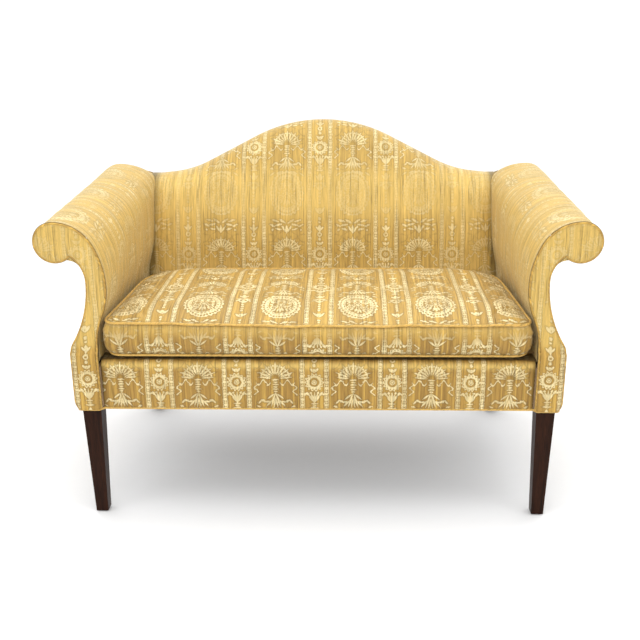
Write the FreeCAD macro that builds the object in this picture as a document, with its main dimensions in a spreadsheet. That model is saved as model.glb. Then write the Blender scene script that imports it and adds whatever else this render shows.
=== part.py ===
import FreeCAD, Part
import math
import os

from FreeCAD import Placement, Rotation, Vector

# Camelback sofa with scroll arms, in millimetres.
# Origin on the floor under the middle of the sofa, +Z up, the front faces -Y.
# In plan, depth is counted from the front plane of the arm facings.

doc = FreeCAD.newDocument("camelback_sofa")
sheet = doc.addObject("Spreadsheet::Sheet", "dims")

DRIVING = {
    # Overall
    "overall_depth": 708,
    "cushion_overhang": 12,
    # Legs and seat frame
    "leg_foot": 30,
    "leg_top": 45,
    "glide_radius": 10,
    "glide_thickness": 3,
    "leg_shoulder": 290,
    "rail_bottom": 297,
    "rail_top": 400,
    "rail_thickness": 28,
    "frame_half_front": 571,
    "frame_half_rear": 545,
    "post_width": 44,
    "post_depth": 44,
    "rear_rail_depth": 600,
    "rear_foot_front": 642,
    "rear_foot": 32,
    "tenon_length": 22,
    "tenon_thickness": 10,
    "tenon_height": 60,
    "brace_width": 40,
    "brace_height": 45,
    "brace_dish": 12,
    "block_leg": 70,
    "block_height": 50,
    "screw_radius": 2.5,
    "screw_length": 62,
    "screw_head_radius": 5,
    "block_below": 10,
    "dust_cover": 1.2,
    "dust_back": 2,
    # Back
    "back_rise": 410,
    "back_board": 28,
    "post_top": 740,
    "crest_depth": 92,
    "lower_rail_bottom": 446,
    "lower_rail_height": 58,
    "upright_width": 40,
    "upright_place": 150,
    # Camel line of the back, as covered
    "camel_top": 902,
    "camel_radius": 424,
    "camel_hump": 190,
    "camel_straight": 325,
    "camel_hollow_radius": 300,
    "camel_end_slope": 0.105,
    "back_half": 467,
    # Covers and padding
    "cover": 6,
    "sheet_cover": 4,
    "side_cover": 3,
    "arm_padding": 14,
    "crest_padding": 14,
    "soft_gap": 0.3,
    "welt_radius": 3,
    # Back padding
    "back_foot_depth": 476,
    "back_face_depth": 597,
    "back_face_height": 825,
    "back_crown": 24,
    "back_roll_drop": 55,
    "back_roll_peak": 14,
    # Arms at the front
    "roll_radius": 48,
    "roll_x_front": 600,
    "roll_z_front": 704,
    "inner_x_front": 487,
    "inner_z_front": 600,
    "shoulder_radius_front": 100,
    "foot_x_front": 518,
    "foot_z": 455,
    "notch_front": -136.7,
    "neck_x_front": 535,
    "neck_z_front": 612,
    "hip_x_front": 584,
    "hip_z": 440,
    "hip_radius": 40,
    "hem_x_front": 576.5,
    "hem_z": 320,
    "facing_block": 7,
    # Arms at the rear end of their cover
    "arm_end": 700,
    "roll_x_rear": 566,
    "roll_z_rear": 757,
    "inner_x_rear": 467,
    "inner_z_rear": 751,
    "shoulder_radius_rear": 260,
    "foot_x_rear": 470,
    "notch_rear": -104,
    "neck_x_rear": 553,
    "neck_z_rear": 670,
    "hip_x_rear": 558,
    "hem_x_rear": 552,
    # Arm frame
    "arm_post": 24,
    "arm_rail_radius": 25,
    "arm_rail_end": 592,
    "arm_post_clearance": 3,
    "tack_rail_bottom": 436,
    "tack_rail_height": 32,
    "tack_rail_thickness": 20,
    # Webbing
    "web_width": 50,
    "web_thickness": 1.5,
    "web_pitch_cross": 120,
    "web_pitch_long": 115,
    "web_first": 110,
    "web_play": 0.1,
    "web_margin": 6,
    "back_web_pitch": 150,
    "back_web_low": 540,
    "back_web_step": 80,
    # Seat deck
    "burlap": 1,
    "deck_pad": 22,
    "deck_cover": 2.4,
    "edge_round": 14,
    "edge_top": 427,
    "lip_depth": 33.5,
    # Cushion
    "cushion_half_front": 503,
    "cushion_half_rear": 478,
    "cushion_rear": 472,
    "cushion_corner": 34,
    "boxing": 79,
    "boxing_bulge": 3,
    "boxing_tuck": 10,
    "cushion_crown": 19,
    "crown_reach": 170,
    "cushion_skin": 2.5,
    "zip_length": 800,
    "zip_tape": 24,
    "zip_tape_thickness": 1,
    "zip_chain": 5,
    "zip_chain_height": 1.6,
    "slider_length": 12,
    "slider_width": 9,
    "slider_height": 3,
    "slider_clearance": 0.2,
    "slider_start": 6,
}

for row, (alias, number) in enumerate(DRIVING.items(), start=1):
    sheet.set("A%d" % row, alias.replace("_", " "))
    sheet.set("B%d" % row, str(number))
    sheet.setAlias("B%d" % row, alias)
doc.recompute()


def dim(alias):
    return float(sheet.get(alias))


SIDES = {"left": -1, "right": 1}
OVERHANG = dim("cushion_overhang") + dim("boxing_bulge")
FRONT = OVERHANG - dim("overall_depth") / 2
GAP = dim("soft_gap")
COVER = dim("cover")
REACH = 2000
TOUCH = 1e-6
CHORD_TURN = 17
CORD_SIDES = 6
FLAT = 1e-6
SEAT_WEBS = {"cross": 8, "long": 4}
BACK_WEBS = {"upright": 6, "across": 2}

# The least upright stretch of an arm's inner face, so that all its sections agree
UPRIGHT_STEP = 1

# Shares of the height of the boxing, with its upright stretch, and of the reach of the crown
BOXING_STATIONS = (0, 0.12, 0.35, 0.65, 0.88, 1)
BOXING_UPRIGHT = (0.35, 0.65)
CROWN_STATIONS = (0.06, 0.16, 0.32, 0.55, 1)

# The outside of the back leans from the seat rail to the rearmost line of the sofa
SLOPE = (dim("overall_depth") - OVERHANG - dim("rear_rail_depth")
         - dim("sheet_cover")) / (dim("camel_top") - dim("back_rise"))
RAKE = math.atan(SLOPE)


# Plan depth to row Y
def row_y(depth):
    return FRONT + depth


# Depth of a plane parallel to the outside of the back, a distance in front of it
def back_depth(height, forward=0):
    over = max(0, height - dim("back_rise"))
    lean = math.cos(RAKE) if over else 1
    return dim("rear_rail_depth") + dim("sheet_cover") + over * SLOPE - forward / lean


parts = []


# Keeps a document object as one named piece
def keep(obj, label):
    obj.Label = label
    parts.append(obj)
    return obj


# A piece whose shape is made with Part's own functions
def piece(label, shape):
    obj = doc.addObject("Part::Feature", label)
    obj.Shape = shape
    return keep(obj, label)


# Paths in a plane: lines and arcs that know their centre, so that they can be offset

def line(p, q):
    return {"kind": "line", "p": p, "q": q}


def arc(centre, radius, start, end):
    return {"kind": "arc", "c": centre, "r": radius, "a": start, "b": end}


def on_arc(seg, angle):
    turn = math.radians(angle)
    return (seg["c"][0] + seg["r"] * math.cos(turn), seg["c"][1] + seg["r"] * math.sin(turn))


# Moves a segment to the right of its direction of travel
def shift(seg, distance):
    if seg["kind"] == "line":
        dx = seg["q"][0] - seg["p"][0]
        dz = seg["q"][1] - seg["p"][1]
        size = math.hypot(dx, dz)
        move = (dz / size * distance, -dx / size * distance)
        return line((seg["p"][0] + move[0], seg["p"][1] + move[1]),
                    (seg["q"][0] + move[0], seg["q"][1] + move[1]))
    clockwise = seg["b"] < seg["a"]
    radius = seg["r"] - distance if clockwise else seg["r"] + distance
    return arc(seg["c"], radius, seg["a"], seg["b"])


def shifted(path, distance):
    return [shift(seg, distance) for seg in path]


def start_of(seg):
    return seg["p"] if seg["kind"] == "line" else on_arc(seg, seg["a"])


def end_of(seg):
    return seg["q"] if seg["kind"] == "line" else on_arc(seg, seg["b"])


def back_to_front(path):
    turned = []
    for seg in reversed(path):
        if seg["kind"] == "line":
            turned.append(line(seg["q"], seg["p"]))
        else:
            turned.append(arc(seg["c"], seg["r"], seg["b"], seg["a"]))
    return turned


# Joins paths end to end into a ring, with a line over each gap
def joined(paths):
    whole = []
    for path, following in zip(paths, paths[1:] + paths[:1]):
        whole.extend(path)
        ends = (end_of(path[-1]), start_of(following[0]))
        if math.dist(*ends) > TOUCH:
            whole.append(line(*ends))
    return whole


def to_edges(path, place):
    edges = []
    for seg in path:
        if seg["kind"] == "line":
            edges.append(Part.makeLine(place(*seg["p"]), place(*seg["q"])))
        else:
            middle = (seg["a"] + seg["b"]) / 2
            points = [place(*on_arc(seg, angle)) for angle in (seg["a"], middle, seg["b"])]
            edges.append(Part.Arc(*points).toShape())
    return edges


def to_wire(path, place):
    return Part.Wire(to_edges(path, place))


# How many chords follow each segment, so that sections of one loft can agree
def chord_counts(path):
    return [1 if seg["kind"] == "line" else math.ceil(abs(seg["b"] - seg["a"]) / CHORD_TURN)
            for seg in path]


def corners_along(path, counts):
    points = []
    for seg, count in zip(path, counts):
        if seg["kind"] == "line":
            points.append(seg["p"])
            continue
        step = (seg["b"] - seg["a"]) / count
        points += [on_arc(seg, seg["a"] + i * step) for i in range(count)]
    return points


# A solid with flat facets through rings of corners, open-ended or joined into a loop
def skinned(rings, looped=False):
    faces = []
    followers = rings[1:] + rings[:1] if looped else rings[1:]
    for ring, following in zip(rings, followers):
        for i in range(len(ring)):
            j = (i + 1) % len(ring)
            quad = [ring[i], ring[j], following[j], following[i]]
            facets = [quad]
            normal = (quad[1] - quad[0]).cross(quad[2] - quad[0]).normalize()
            if abs(normal.dot(quad[3] - quad[0])) > FLAT:
                if (quad[2] - quad[0]).Length > (quad[3] - quad[1]).Length:
                    quad = quad[1:] + quad[:1]
                facets = [[quad[0], quad[1], quad[2]], [quad[0], quad[2], quad[3]]]
            faces += [Part.Face(Part.makePolygon(facet + facet[:1])) for facet in facets]
    if not looped:
        faces += [Part.Face(Part.makePolygon(ring + ring[:1])) for ring in (rings[0], rings[-1])]
    solid = Part.makeSolid(Part.makeShell(faces))
    if solid.Volume < 0:
        solid.reverse()
    return solid


# A solid through closed paths, each with its own place, all with the same segments
def loft_through(paths, places):
    counts = [max(group) for group in zip(*[chord_counts(path) for path in paths])]
    rings = []
    for path, place in zip(paths, places):
        rings.append([place(*point) for point in corners_along(path, counts)])
    return skinned(rings)


# The arc through three points
def through(p, q, r):
    ax, ay, bx, by = q[0] - p[0], q[1] - p[1], r[0] - p[0], r[1] - p[1]
    twice = 2 * (ax * by - ay * bx)
    a2, b2 = ax * ax + ay * ay, bx * bx + by * by
    centre = (p[0] + (by * a2 - ay * b2) / twice, p[1] + (ax * b2 - bx * a2) / twice)
    start, end = [math.degrees(math.atan2(w[1] - centre[1], w[0] - centre[0])) for w in (p, r)]
    if twice > 0 and end < start:
        end += 360
    if twice < 0 and end > start:
        end -= 360
    return arc(centre, math.dist(p, centre), start, end)


# Two arcs between two upright tangents: the first turns away, the second turns back
def upright_bend(start, end, first_share):
    dx = end[0] - start[0]
    dz = end[1] - start[1]
    half = math.atan(abs(dx) / abs(dz))
    turn = math.degrees(2 * half)
    total = abs(dz) / math.sin(2 * half)
    first = total * first_share
    second = total - first
    if dz > 0:
        one = arc((start[0] - first, start[1]), first, 0, turn)
        two = arc((end[0] + second, end[1]), second, 180 + turn, 180)
    else:
        one = arc((start[0] + first, start[1]), first, 180, 180 + turn)
        two = arc((end[0] - second, end[1]), second, turn, 0)
    return [one, two]


# Sections of an arm. Its solid side is on the right of both paths.

def arm_sizes(end):
    names = ("roll_x", "roll_z", "inner_x", "inner_z", "shoulder_radius", "foot_x", "notch",
             "neck_x", "neck_z", "hip_x", "hem_x")
    return {name: dim("%s_%s" % (name, end)) for name in names}


# From the seat up the inner face, over the roll and round the scroll to the notch
def inner_path(a, bottom):
    r = dim("roll_radius")
    top = a["roll_z"] + r
    big = a["shoulder_radius"]
    across = a["inner_x"] - a["roll_x"]
    up = a["inner_z"] - top + big
    low = (big ** 2 - across ** 2 - up ** 2) / (2 * (across + big))
    low_centre = (a["inner_x"] + low, a["inner_z"])
    big_centre = (a["roll_x"], top - big)
    toward = 1 if low > big else -1
    knee = math.degrees(math.atan2(toward * (big_centre[1] - low_centre[1]),
                                   toward * (big_centre[0] - low_centre[0])))
    scroll = (90 + a["notch"]) / 2
    foot = (a["foot_x"], dim("foot_z"))
    bend_end = (a["inner_x"], dim("inner_z_front"))
    path = [line((a["foot_x"], bottom), foot)]
    path += upright_bend(foot, bend_end, 0.5)
    path.append(line(bend_end, (a["inner_x"], a["inner_z"] + UPRIGHT_STEP)))
    path.append(arc((low_centre[0], low_centre[1] + UPRIGHT_STEP), low, 180, knee))
    path.append(arc((big_centre[0], big_centre[1] + UPRIGHT_STEP), big, knee, 90))
    path.append(arc((a["roll_x"], a["roll_z"] + UPRIGHT_STEP), r, 90, scroll))
    path.append(arc((a["roll_x"], a["roll_z"] + UPRIGHT_STEP), r, scroll, a["notch"]))
    return path


# From the notch down the outer face to a height, or to the hem
def outer_path(a, bottom):
    r = dim("roll_radius")
    centre = (a["roll_x"], a["roll_z"] + UPRIGHT_STEP)
    notch = math.radians(a["notch"])
    start = (centre[0] + r * math.cos(notch), centre[1] + r * math.sin(notch))
    dx = start[0] - a["neck_x"]
    dz = start[1] - a["neck_z"]
    neck = (dx ** 2 + dz ** 2) / (2 * dx)
    neck_centre = (a["neck_x"] + neck, a["neck_z"])
    first = math.degrees(math.atan2(start[1] - neck_centre[1], start[0] - neck_centre[0]))
    path = [arc(neck_centre, neck, first, 180)]
    hip = (a["hip_x"], dim("hip_z"))
    fall = a["neck_z"] - dim("hip_z")
    half = math.atan((a["hip_x"] - a["neck_x"]) / fall)
    total = fall / math.sin(2 * half)
    path += upright_bend((a["neck_x"], a["neck_z"]), hip, 1 - dim("hip_radius") / total)
    if bottom > dim("hem_z"):
        path.append(line(hip, (a["hip_x"], bottom)))
        return path
    path.append(line(hip, (a["hip_x"], dim("hem_z"))))
    dx = a["hip_x"] - a["hem_x"]
    dz = dim("hem_z") - bottom
    hem = (dx ** 2 + dz ** 2) / (2 * dx)
    turn = math.degrees(math.asin(dz / hem))
    path.append(arc((a["hip_x"] - hem, dim("hem_z")), hem, 0, -turn))
    return path


# Puts plane points of an arm at a depth, on the left or right
def arm_place(sign, depth):
    return lambda x, z: Vector(sign * x, row_y(depth), z)


def arm_loft(sign, make_path, start, end):
    paths = [make_path(arm_sizes(name)) for name in ("front", "rear")]
    places = [arm_place(sign, depth) for depth in (start, dim("arm_end"))]
    return loft_through(paths, places).common(ahead_of_back(end))


# Everything in front of a plane parallel to the outside of the back
def ahead_of_back(forward):
    low = dim("back_rise")
    points = [(-REACH, -REACH), (back_depth(0, forward), -REACH), (back_depth(low, forward), low),
              (back_depth(REACH, forward), REACH), (-REACH, REACH)]
    ring = [Vector(-REACH, row_y(depth), height) for depth, height in points]
    return Part.Face(Part.makePolygon(ring + ring[:1])).extrude(Vector(2 * REACH, 0, 0))


# Sketches and pads

def origin_plane(body, role):
    return next(f for f in body.Origin.OriginFeatures if f.Role == role)


def new_sketch(body, role, name):
    sketch = body.newObject("Sketcher::SketchObject", name)
    sketch.AttachmentSupport = [(origin_plane(body, role), "")]
    sketch.MapMode = "FlatFace"
    return sketch


def draw(sketch, path):
    for edge in to_edges(path, lambda x, y: Vector(x, y, 0)):
        sketch.addGeometry(sketch_curve(edge), False)


# The trimmed curve of an edge, as a sketch takes it
def sketch_curve(edge):
    ends = (edge.Vertexes[0].Point, edge.Vertexes[1].Point)
    if isinstance(edge.Curve, Part.Circle):
        middle = edge.valueAt((edge.FirstParameter + edge.LastParameter) / 2)
        return Part.Arc(ends[0], middle, ends[1])
    return Part.LineSegment(*ends)


def polygon(points):
    return [line(p, q) for p, q in zip(points, points[1:] + points[:1])]


# A closed path with its arcs as chords, to lie against a padded form with the same chords
def chorded(path):
    return polygon(corners_along(path, chord_counts(path)))


# A board cut to a path in one of the body's planes, with its thickness from the sheet
def board(label, role, path, offset, thickness, reverse=False):
    body = doc.addObject("PartDesign::Body", label)
    sketch = new_sketch(body, role, label + "_outline")
    sketch.AttachmentOffset = Placement(Vector(0, 0, offset), Rotation())
    draw(sketch, path)
    pad = body.newObject("PartDesign::Pad", label + "_pad")
    pad.Profile = sketch
    pad.setExpression("Length", thickness)
    pad.Reversed = reverse
    return keep(body, label)


def turned(path, sign):
    if sign > 0:
        return path
    flipped = []
    for seg in path:
        if seg["kind"] == "line":
            flipped.append(line((-seg["p"][0], seg["p"][1]), (-seg["q"][0], seg["q"][1])))
        else:
            centre = (-seg["c"][0], seg["c"][1])
            flipped.append(arc(centre, seg["r"], 180 - seg["a"], 180 - seg["b"]))
    return flipped


# Square sketch, centred, at a height that the sheet gives
def square(body, name, side, height):
    sketch = new_sketch(body, "XY_Plane", name)
    half = dim(side) / 2
    corners = [(-half, -half), (half, -half), (half, half), (-half, half)]
    draw(sketch, polygon(corners))
    sketch.setExpression("AttachmentOffset.Base.z", height)
    return sketch


# Front legs: tapered below the seat rail, square above it, mortised for the front rail

def front_leg(name, sign):
    label = "front_leg_" + name
    body = doc.addObject("PartDesign::Body", label + "_body")
    foot = square(body, label + "_foot", "leg_foot", "dims.glide_thickness")
    shoulder = square(body, label + "_shoulder", "leg_top", "dims.leg_shoulder")
    taper = body.newObject("PartDesign::AdditiveLoft", label + "_taper")
    taper.Profile = foot
    taper.Sections = [shoulder]
    taper.Ruled = True
    doc.recompute()
    block = square(body, label + "_block", "leg_top", "dims.leg_shoulder")
    pad = body.newObject("PartDesign::Pad", label + "_pad")
    pad.Profile = block
    pad.setExpression("Length", "dims.rail_top - dims.leg_shoulder")
    doc.recompute()
    body.Placement.Base = Vector(sign * leg_x(), row_y(leg_depth()), 0)
    middle = row_y(COVER + dim("rail_thickness") / 2)
    return bored(body, label, mortise(label, sign, leg_inner(), middle))


def leg_x():
    return dim("frame_half_front") - dim("leg_top") / 2


def leg_depth():
    return COVER + dim("leg_top") / 2


# Inner face of a front leg, where the front rail ends
def leg_inner():
    return dim("frame_half_front") - dim("leg_top")


# Inner face of a back post, where the rear rail ends
def post_inner():
    return dim("frame_half_rear") - dim("post_width")


# The space of a rail's tenon, behind the inner face of a leg
def mortise(label, sign, inner, middle_y):
    box = doc.addObject("Part::Box", label + "_mortise")
    box.setExpression("Length", "dims.tenon_length")
    box.setExpression("Width", "dims.tenon_thickness")
    box.setExpression("Height", "dims.tenon_height")
    left = inner if sign > 0 else -inner - dim("tenon_length")
    box.Placement.Base = Vector(left, middle_y - dim("tenon_thickness") / 2, tenon_bottom())
    return box


# A leg without its mortise and without the pilot hole of its corner screw
def bored(body, label, mortise_box):
    screws = doc.addObject("Part::Feature", label + "_pilots")
    screws.Shape = Part.makeCompound([corner_screw(plan) for plan in block_plans()])
    tools = doc.addObject("Part::Compound", label + "_bores")
    tools.Links = [mortise_box, screws]
    cut = doc.addObject("Part::Cut", label)
    cut.Base = body
    cut.Tool = tools
    return keep(cut, label)


def tenon_bottom():
    return (dim("rail_bottom") + dim("rail_top") - dim("tenon_height")) / 2


# A rail across the sofa between two faces, with a tenon at each end
def cross_rail(label, half, front_depth, inner):
    rail = doc.addObject("Part::Box", label + "_rail")
    rail.Length = 2 * half
    rail.setExpression("Width", "dims.rail_thickness")
    rail.setExpression("Height", "dims.rail_top - dims.rail_bottom")
    rail.Placement.Base = Vector(-half, row_y(front_depth), dim("rail_bottom"))
    tenon = doc.addObject("Part::Box", label + "_tenon")
    tenon.setExpression("Width", "dims.tenon_thickness")
    tenon.setExpression("Height", "dims.tenon_height")
    tenon.Length = 2 * (inner + dim("tenon_length"))
    middle = row_y(front_depth + dim("rail_thickness") / 2)
    tenon.Placement.Base = Vector(-inner - dim("tenon_length"),
                                  middle - dim("tenon_thickness") / 2, tenon_bottom())
    fuse = doc.addObject("Part::Fuse", label)
    fuse.Base = rail
    fuse.Tool = tenon
    return keep(fuse, label)


# Back posts: raked rear leg, upright stretch at the seat rail, raked upright above it

def back_post(name, sign):
    label = "back_post_" + name
    rear = dim("rear_rail_depth")
    front = rear - dim("post_depth")
    foot = dim("rear_foot_front")
    sole = dim("glide_thickness")
    rise = dim("back_rise")
    slim = dim("lower_rail_bottom")
    board_back = dim("sheet_cover")
    board_front = board_back + dim("back_board")
    top = dim("post_top")
    points = [(foot, sole), (foot + dim("rear_foot"), sole), (rear, dim("leg_shoulder")),
              (rear, rise), (back_depth(top, board_back), top),
              (back_depth(top, board_front), top), (back_depth(slim, board_front), slim),
              (front, rise), (front, dim("leg_shoulder"))]
    path = polygon([(row_y(depth), height) for depth, height in points])
    edge = post_inner() if sign > 0 else -dim("frame_half_rear")
    body = board(label + "_body", "YZ_Plane", path, edge, "dims.post_width")
    parts.remove(body)
    middle = row_y(rear - dim("rail_thickness") / 2)
    return bored(body, label, mortise(label, sign, post_inner(), middle))


# Outer line of the side frame in plan, from the front leg to the back post
def side_line(depth):
    front = COVER + dim("leg_top")
    rear = dim("rear_rail_depth") - dim("post_depth")
    share = (depth - front) / (rear - front)
    return dim("frame_half_front") + share * (dim("frame_half_rear") - dim("frame_half_front"))


# Camel line: hump, straight flank, hollow, and a short run to the arm
def camel_path(drop, half):
    top = dim("camel_top") - drop
    hump = dim("camel_radius") - drop
    hollow = dim("camel_hollow_radius") + drop
    lean = math.degrees(math.asin(dim("camel_hump") / dim("camel_radius")))
    last = math.degrees(math.atan(dim("camel_end_slope")))
    right = [arc((0, top - hump), hump, 90, 90 - lean)]
    start = end_of(right[0])
    run = dim("camel_straight") - dim("camel_hump")
    flank = (start[0] + run, start[1] - run * math.tan(math.radians(lean)))
    right.append(line(start, flank))
    centre = (flank[0] + hollow * math.sin(math.radians(lean)),
              flank[1] + hollow * math.cos(math.radians(lean)))
    right.append(arc(centre, hollow, 270 - lean, 270 - last))
    foot = end_of(right[-1])
    right.append(line(foot, (half, foot[1] - (half - foot[0]) * dim("camel_end_slope"))))
    left = back_to_front(turned(right, -1))
    return left + right


# Height of the camel line, or of its parallel below it, at a place across the sofa
def camel_height(x, drop=0):
    place = abs(x)
    right = camel_path(drop, place + 1)[4:]
    for seg in right:
        high = end_of(seg)
        if place > high[0] and seg is not right[-1]:
            continue
        low = start_of(seg)
        if seg["kind"] == "line":
            return low[1] + (place - low[0]) / (high[0] - low[0]) * (high[1] - low[1])
        rise = math.sqrt(seg["r"] ** 2 - (place - seg["c"][0]) ** 2)
        return seg["c"][1] + (rise if seg["b"] < 180 else -rise)


# Turns a body drawn in the upright plane of the back about the foot of the rake
def lean_back(obj):
    pivot = Vector(0, row_y(back_depth(dim("back_rise"))), dim("back_rise"))
    turn = Rotation(Vector(1, 0, 0), -math.degrees(RAKE))
    obj.Placement = Placement(pivot - turn.multVec(pivot), turn)


# Raises a path, as the leaning boards are longer than they are high
def lifted(path, rise):
    out = []
    for seg in path:
        if seg["kind"] == "line":
            out.append(line((seg["p"][0], seg["p"][1] + rise), (seg["q"][0], seg["q"][1] + rise)))
        else:
            out.append(arc((seg["c"][0], seg["c"][1] + rise), seg["r"], seg["a"], seg["b"]))
    return out


def lean_rise():
    return (dim("camel_top") - dim("back_rise")) * (1 / math.cos(RAKE) - 1)


# Sketch offset that puts a board's back face a distance in front of the outside back
def back_offset(forward):
    return forward - row_y(back_depth(dim("back_rise")))


def closed_below(path, bottom):
    ends = [(end_of(path[-1])[0], bottom), (start_of(path[0])[0], bottom)]
    return path + [line(end_of(path[-1]), ends[0]), line(ends[0], ends[1]),
                   line(ends[1], start_of(path[0]))]


def crest_rail():
    drop = dim("crest_padding")
    upper = lifted(camel_path(drop, post_inner()), lean_rise())
    lower = lifted(camel_path(drop + dim("crest_depth"), post_inner()), lean_rise())
    path = joined([upper, back_to_front(lower)])
    body = board("crest_rail", "XZ_Plane", path, back_offset(dim("sheet_cover")),
                 "dims.back_board")
    lean_back(body)


def lower_back_rail():
    bottom = dim("lower_rail_bottom")
    top = bottom + dim("lower_rail_height")
    half = post_inner()
    path = polygon([(-half, bottom), (half, bottom), (half, top), (-half, top)])
    body = board("lower_back_rail", "XZ_Plane", path, back_offset(dim("sheet_cover")),
                 "dims.back_board")
    lean_back(body)


def back_upright(name, sign):
    bottom = dim("lower_rail_bottom") + dim("lower_rail_height")
    near = dim("upright_place")
    far = near + dim("upright_width")
    drop = dim("crest_padding") + dim("crest_depth")
    tops = [camel_height(x, drop) + lean_rise() for x in (near, far)]
    points = [(near, bottom), (far, bottom), (far, tops[1]), (near, tops[0])]
    path = polygon([(sign * x, height) for x, height in points])
    body = board("back_upright_" + name, "XZ_Plane", path, back_offset(dim("sheet_cover")),
                 "dims.back_board")
    lean_back(body)


# Arm frame

def arm_post(name, sign):
    sizes = arm_sizes("front")
    spare = dim("arm_post_clearance")
    bottom = dim("rail_top")
    inner = shifted(inner_path(sizes, bottom), dim("arm_padding") + spare)
    outer = shifted(outer_path(sizes, bottom), dim("side_cover") + spare)
    path = turned(chorded(joined([inner, outer])), sign)
    board("arm_post_" + name, "XZ_Plane", path, -row_y(COVER), "dims.arm_post", True)


# A size of the arm at a depth, between its front and rear sections
def along_arm(key, depth):
    share = (depth - COVER - GAP) / (dim("arm_end") - COVER - GAP)
    sizes = [arm_sizes(end)[key] for end in ("front", "rear")]
    return sizes[0] + share * (sizes[1] - sizes[0])


def arm_top_rail(name, sign):
    wires = []
    for depth in (COVER + dim("arm_post"), dim("arm_rail_end")):
        centre = Vector(sign * along_arm("roll_x", depth), row_y(depth),
                        along_arm("roll_z", depth) + UPRIGHT_STEP)
        ring = Part.makeCircle(dim("arm_rail_radius"), centre, Vector(0, 1, 0))
        wires.append(Part.Wire(ring))
    piece("arm_top_rail_" + name, Part.makeLoft(wires, True, True))


def arm_tack_rail(name, sign):
    start = COVER + dim("arm_post")
    end = dim("rear_rail_depth") - dim("post_depth")
    points = []
    for depth in (start, end):
        near = along_arm("foot_x", depth) + dim("arm_padding") + GAP
        points.append([(near, depth), (near + dim("tack_rail_thickness"), depth)])
    order = [points[0][0], points[0][1], points[1][1], points[1][0]]
    path = polygon([(sign * x, row_y(depth)) for x, depth in order])
    board("arm_tack_rail_" + name, "XY_Plane", path, dim("tack_rail_bottom"),
          "dims.tack_rail_height")


# Seat frame

def side_rail(name, sign):
    start = COVER + dim("leg_top")
    end = dim("rear_rail_depth") - dim("post_depth")
    thick = dim("rail_thickness")
    points = [(side_line(start), start), (side_line(end), end), (side_line(end) - thick, end),
              (side_line(start) - thick, start)]
    path = polygon([(sign * x, row_y(depth)) for x, depth in points])
    board("side_rail_" + name, "XY_Plane", path, dim("rail_bottom"),
          "dims.rail_top - dims.rail_bottom")


def seat_brace():
    start = row_y(COVER + dim("rail_thickness"))
    end = row_y(dim("rear_rail_depth") - dim("rail_thickness"))
    low = dim("rail_bottom")
    high = low + dim("brace_height")
    middle = (start + end) / 2
    half = (end - start) / 2
    radius = (half ** 2 + dim("brace_dish") ** 2) / (2 * dim("brace_dish"))
    sweep = math.degrees(math.asin(half / radius))
    dish = arc((middle, high - dim("brace_dish") + radius), radius, 270 + sweep, 270 - sweep)
    path = [line((start, low), (end, low)), line((end, low), (end, high)), dish,
            line((start, high), (start, low))]
    board("seat_brace", "YZ_Plane", path, -dim("brace_width") / 2, "dims.brace_width")


# Corner blocks: each bridges two rails behind a leg, and one screw draws it to the leg

def block_plans():
    leg = dim("block_leg")
    front_back = COVER + dim("rail_thickness")
    leg_back = COVER + dim("leg_top")
    rear_front = dim("rear_rail_depth") - dim("rail_thickness")
    post_front = dim("rear_rail_depth") - dim("post_depth")

    def inside(depth):
        return side_line(depth) - dim("rail_thickness")

    front = [(leg_inner() - leg, front_back), (leg_inner(), front_back), (leg_inner(), leg_back),
             (inside(leg_back), leg_back), (inside(leg_back + leg), leg_back + leg)]
    rear = [(post_inner() - leg, rear_front), (post_inner(), rear_front),
            (post_inner(), post_front), (inside(post_front), post_front),
            (inside(post_front - leg), post_front - leg)]
    return [[(sign * x, row_y(depth)) for x, depth in plan]
            for sign in SIDES.values() for plan in (front, rear)]


def block_base():
    return dim("rail_top") - dim("block_below") - dim("block_height")


def corner_screw(plan):
    first, last, leg_corner = Vector(*plan[0], 0), Vector(*plan[-1], 0), Vector(*plan[2], 0)
    start = (first + last) * 0.5
    along = (last - first).normalize()
    way = Vector(-along.y, along.x, 0)
    if way.dot(leg_corner - start) < 0:
        way = way * -1
    start.z = block_base() + dim("block_height") / 2
    shank = Part.makeCylinder(dim("screw_radius"), dim("screw_length"), start, way)
    head_height = dim("screw_head_radius") - dim("screw_radius")
    head = Part.makeCone(dim("screw_head_radius"), dim("screw_radius"), head_height, start, way)
    return shank.fuse(head)


def corner_blocks_and_screws():
    screws = [corner_screw(plan) for plan in block_plans()]
    blocks = []
    for plan in block_plans():
        ring = [Vector(x, y, block_base()) for x, y in plan]
        block = Part.Face(Part.makePolygon(ring + ring[:1]))
        blocks.append(block.extrude(Vector(0, 0, dim("block_height"))).cut(screws))
    piece("corner_blocks", Part.makeCompound(blocks))
    piece("corner_screws", Part.makeCompound(screws))


def foot_glides():
    solids = []
    rear_depth = dim("rear_foot_front") + dim("rear_foot") / 2
    rear_x = dim("frame_half_rear") - dim("post_width") / 2
    for sign in SIDES.values():
        for x, depth in ((leg_x(), leg_depth()), (rear_x, rear_depth)):
            solids.append(Part.makeCylinder(dim("glide_radius"), dim("glide_thickness"),
                                            Vector(sign * x, row_y(depth), 0)))
    piece("foot_glides", Part.makeCompound(solids))


# Webbing: strips that pass over and under each other

def wave(crossings, ends, first_over):
    swing = (dim("web_thickness") + dim("web_play")) / 2
    flat = dim("web_width") / 2 + 1
    points = [(ends[0], 0)]
    over = first_over
    for place in crossings:
        height = swing if over else -swing
        points += [(place - flat, height), (place + flat, height)]
        over = not over
    points.append((ends[1], 0))
    return points


def strip(points, way, across, up, origin):
    half = dim("web_thickness") / 2
    ring = [(run, rise + half) for run, rise in points]
    ring += [(run, rise - half) for run, rise in reversed(points)]
    start = origin - across * (dim("web_width") / 2)
    corners = [start + way * run + up * rise for run, rise in ring]
    face = Part.Face(Part.makePolygon(corners + corners[:1]))
    return face.extrude(across * dim("web_width"))


def evenly(pitch, count):
    return [pitch * (i - (count - 1) / 2) for i in range(count)]


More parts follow.
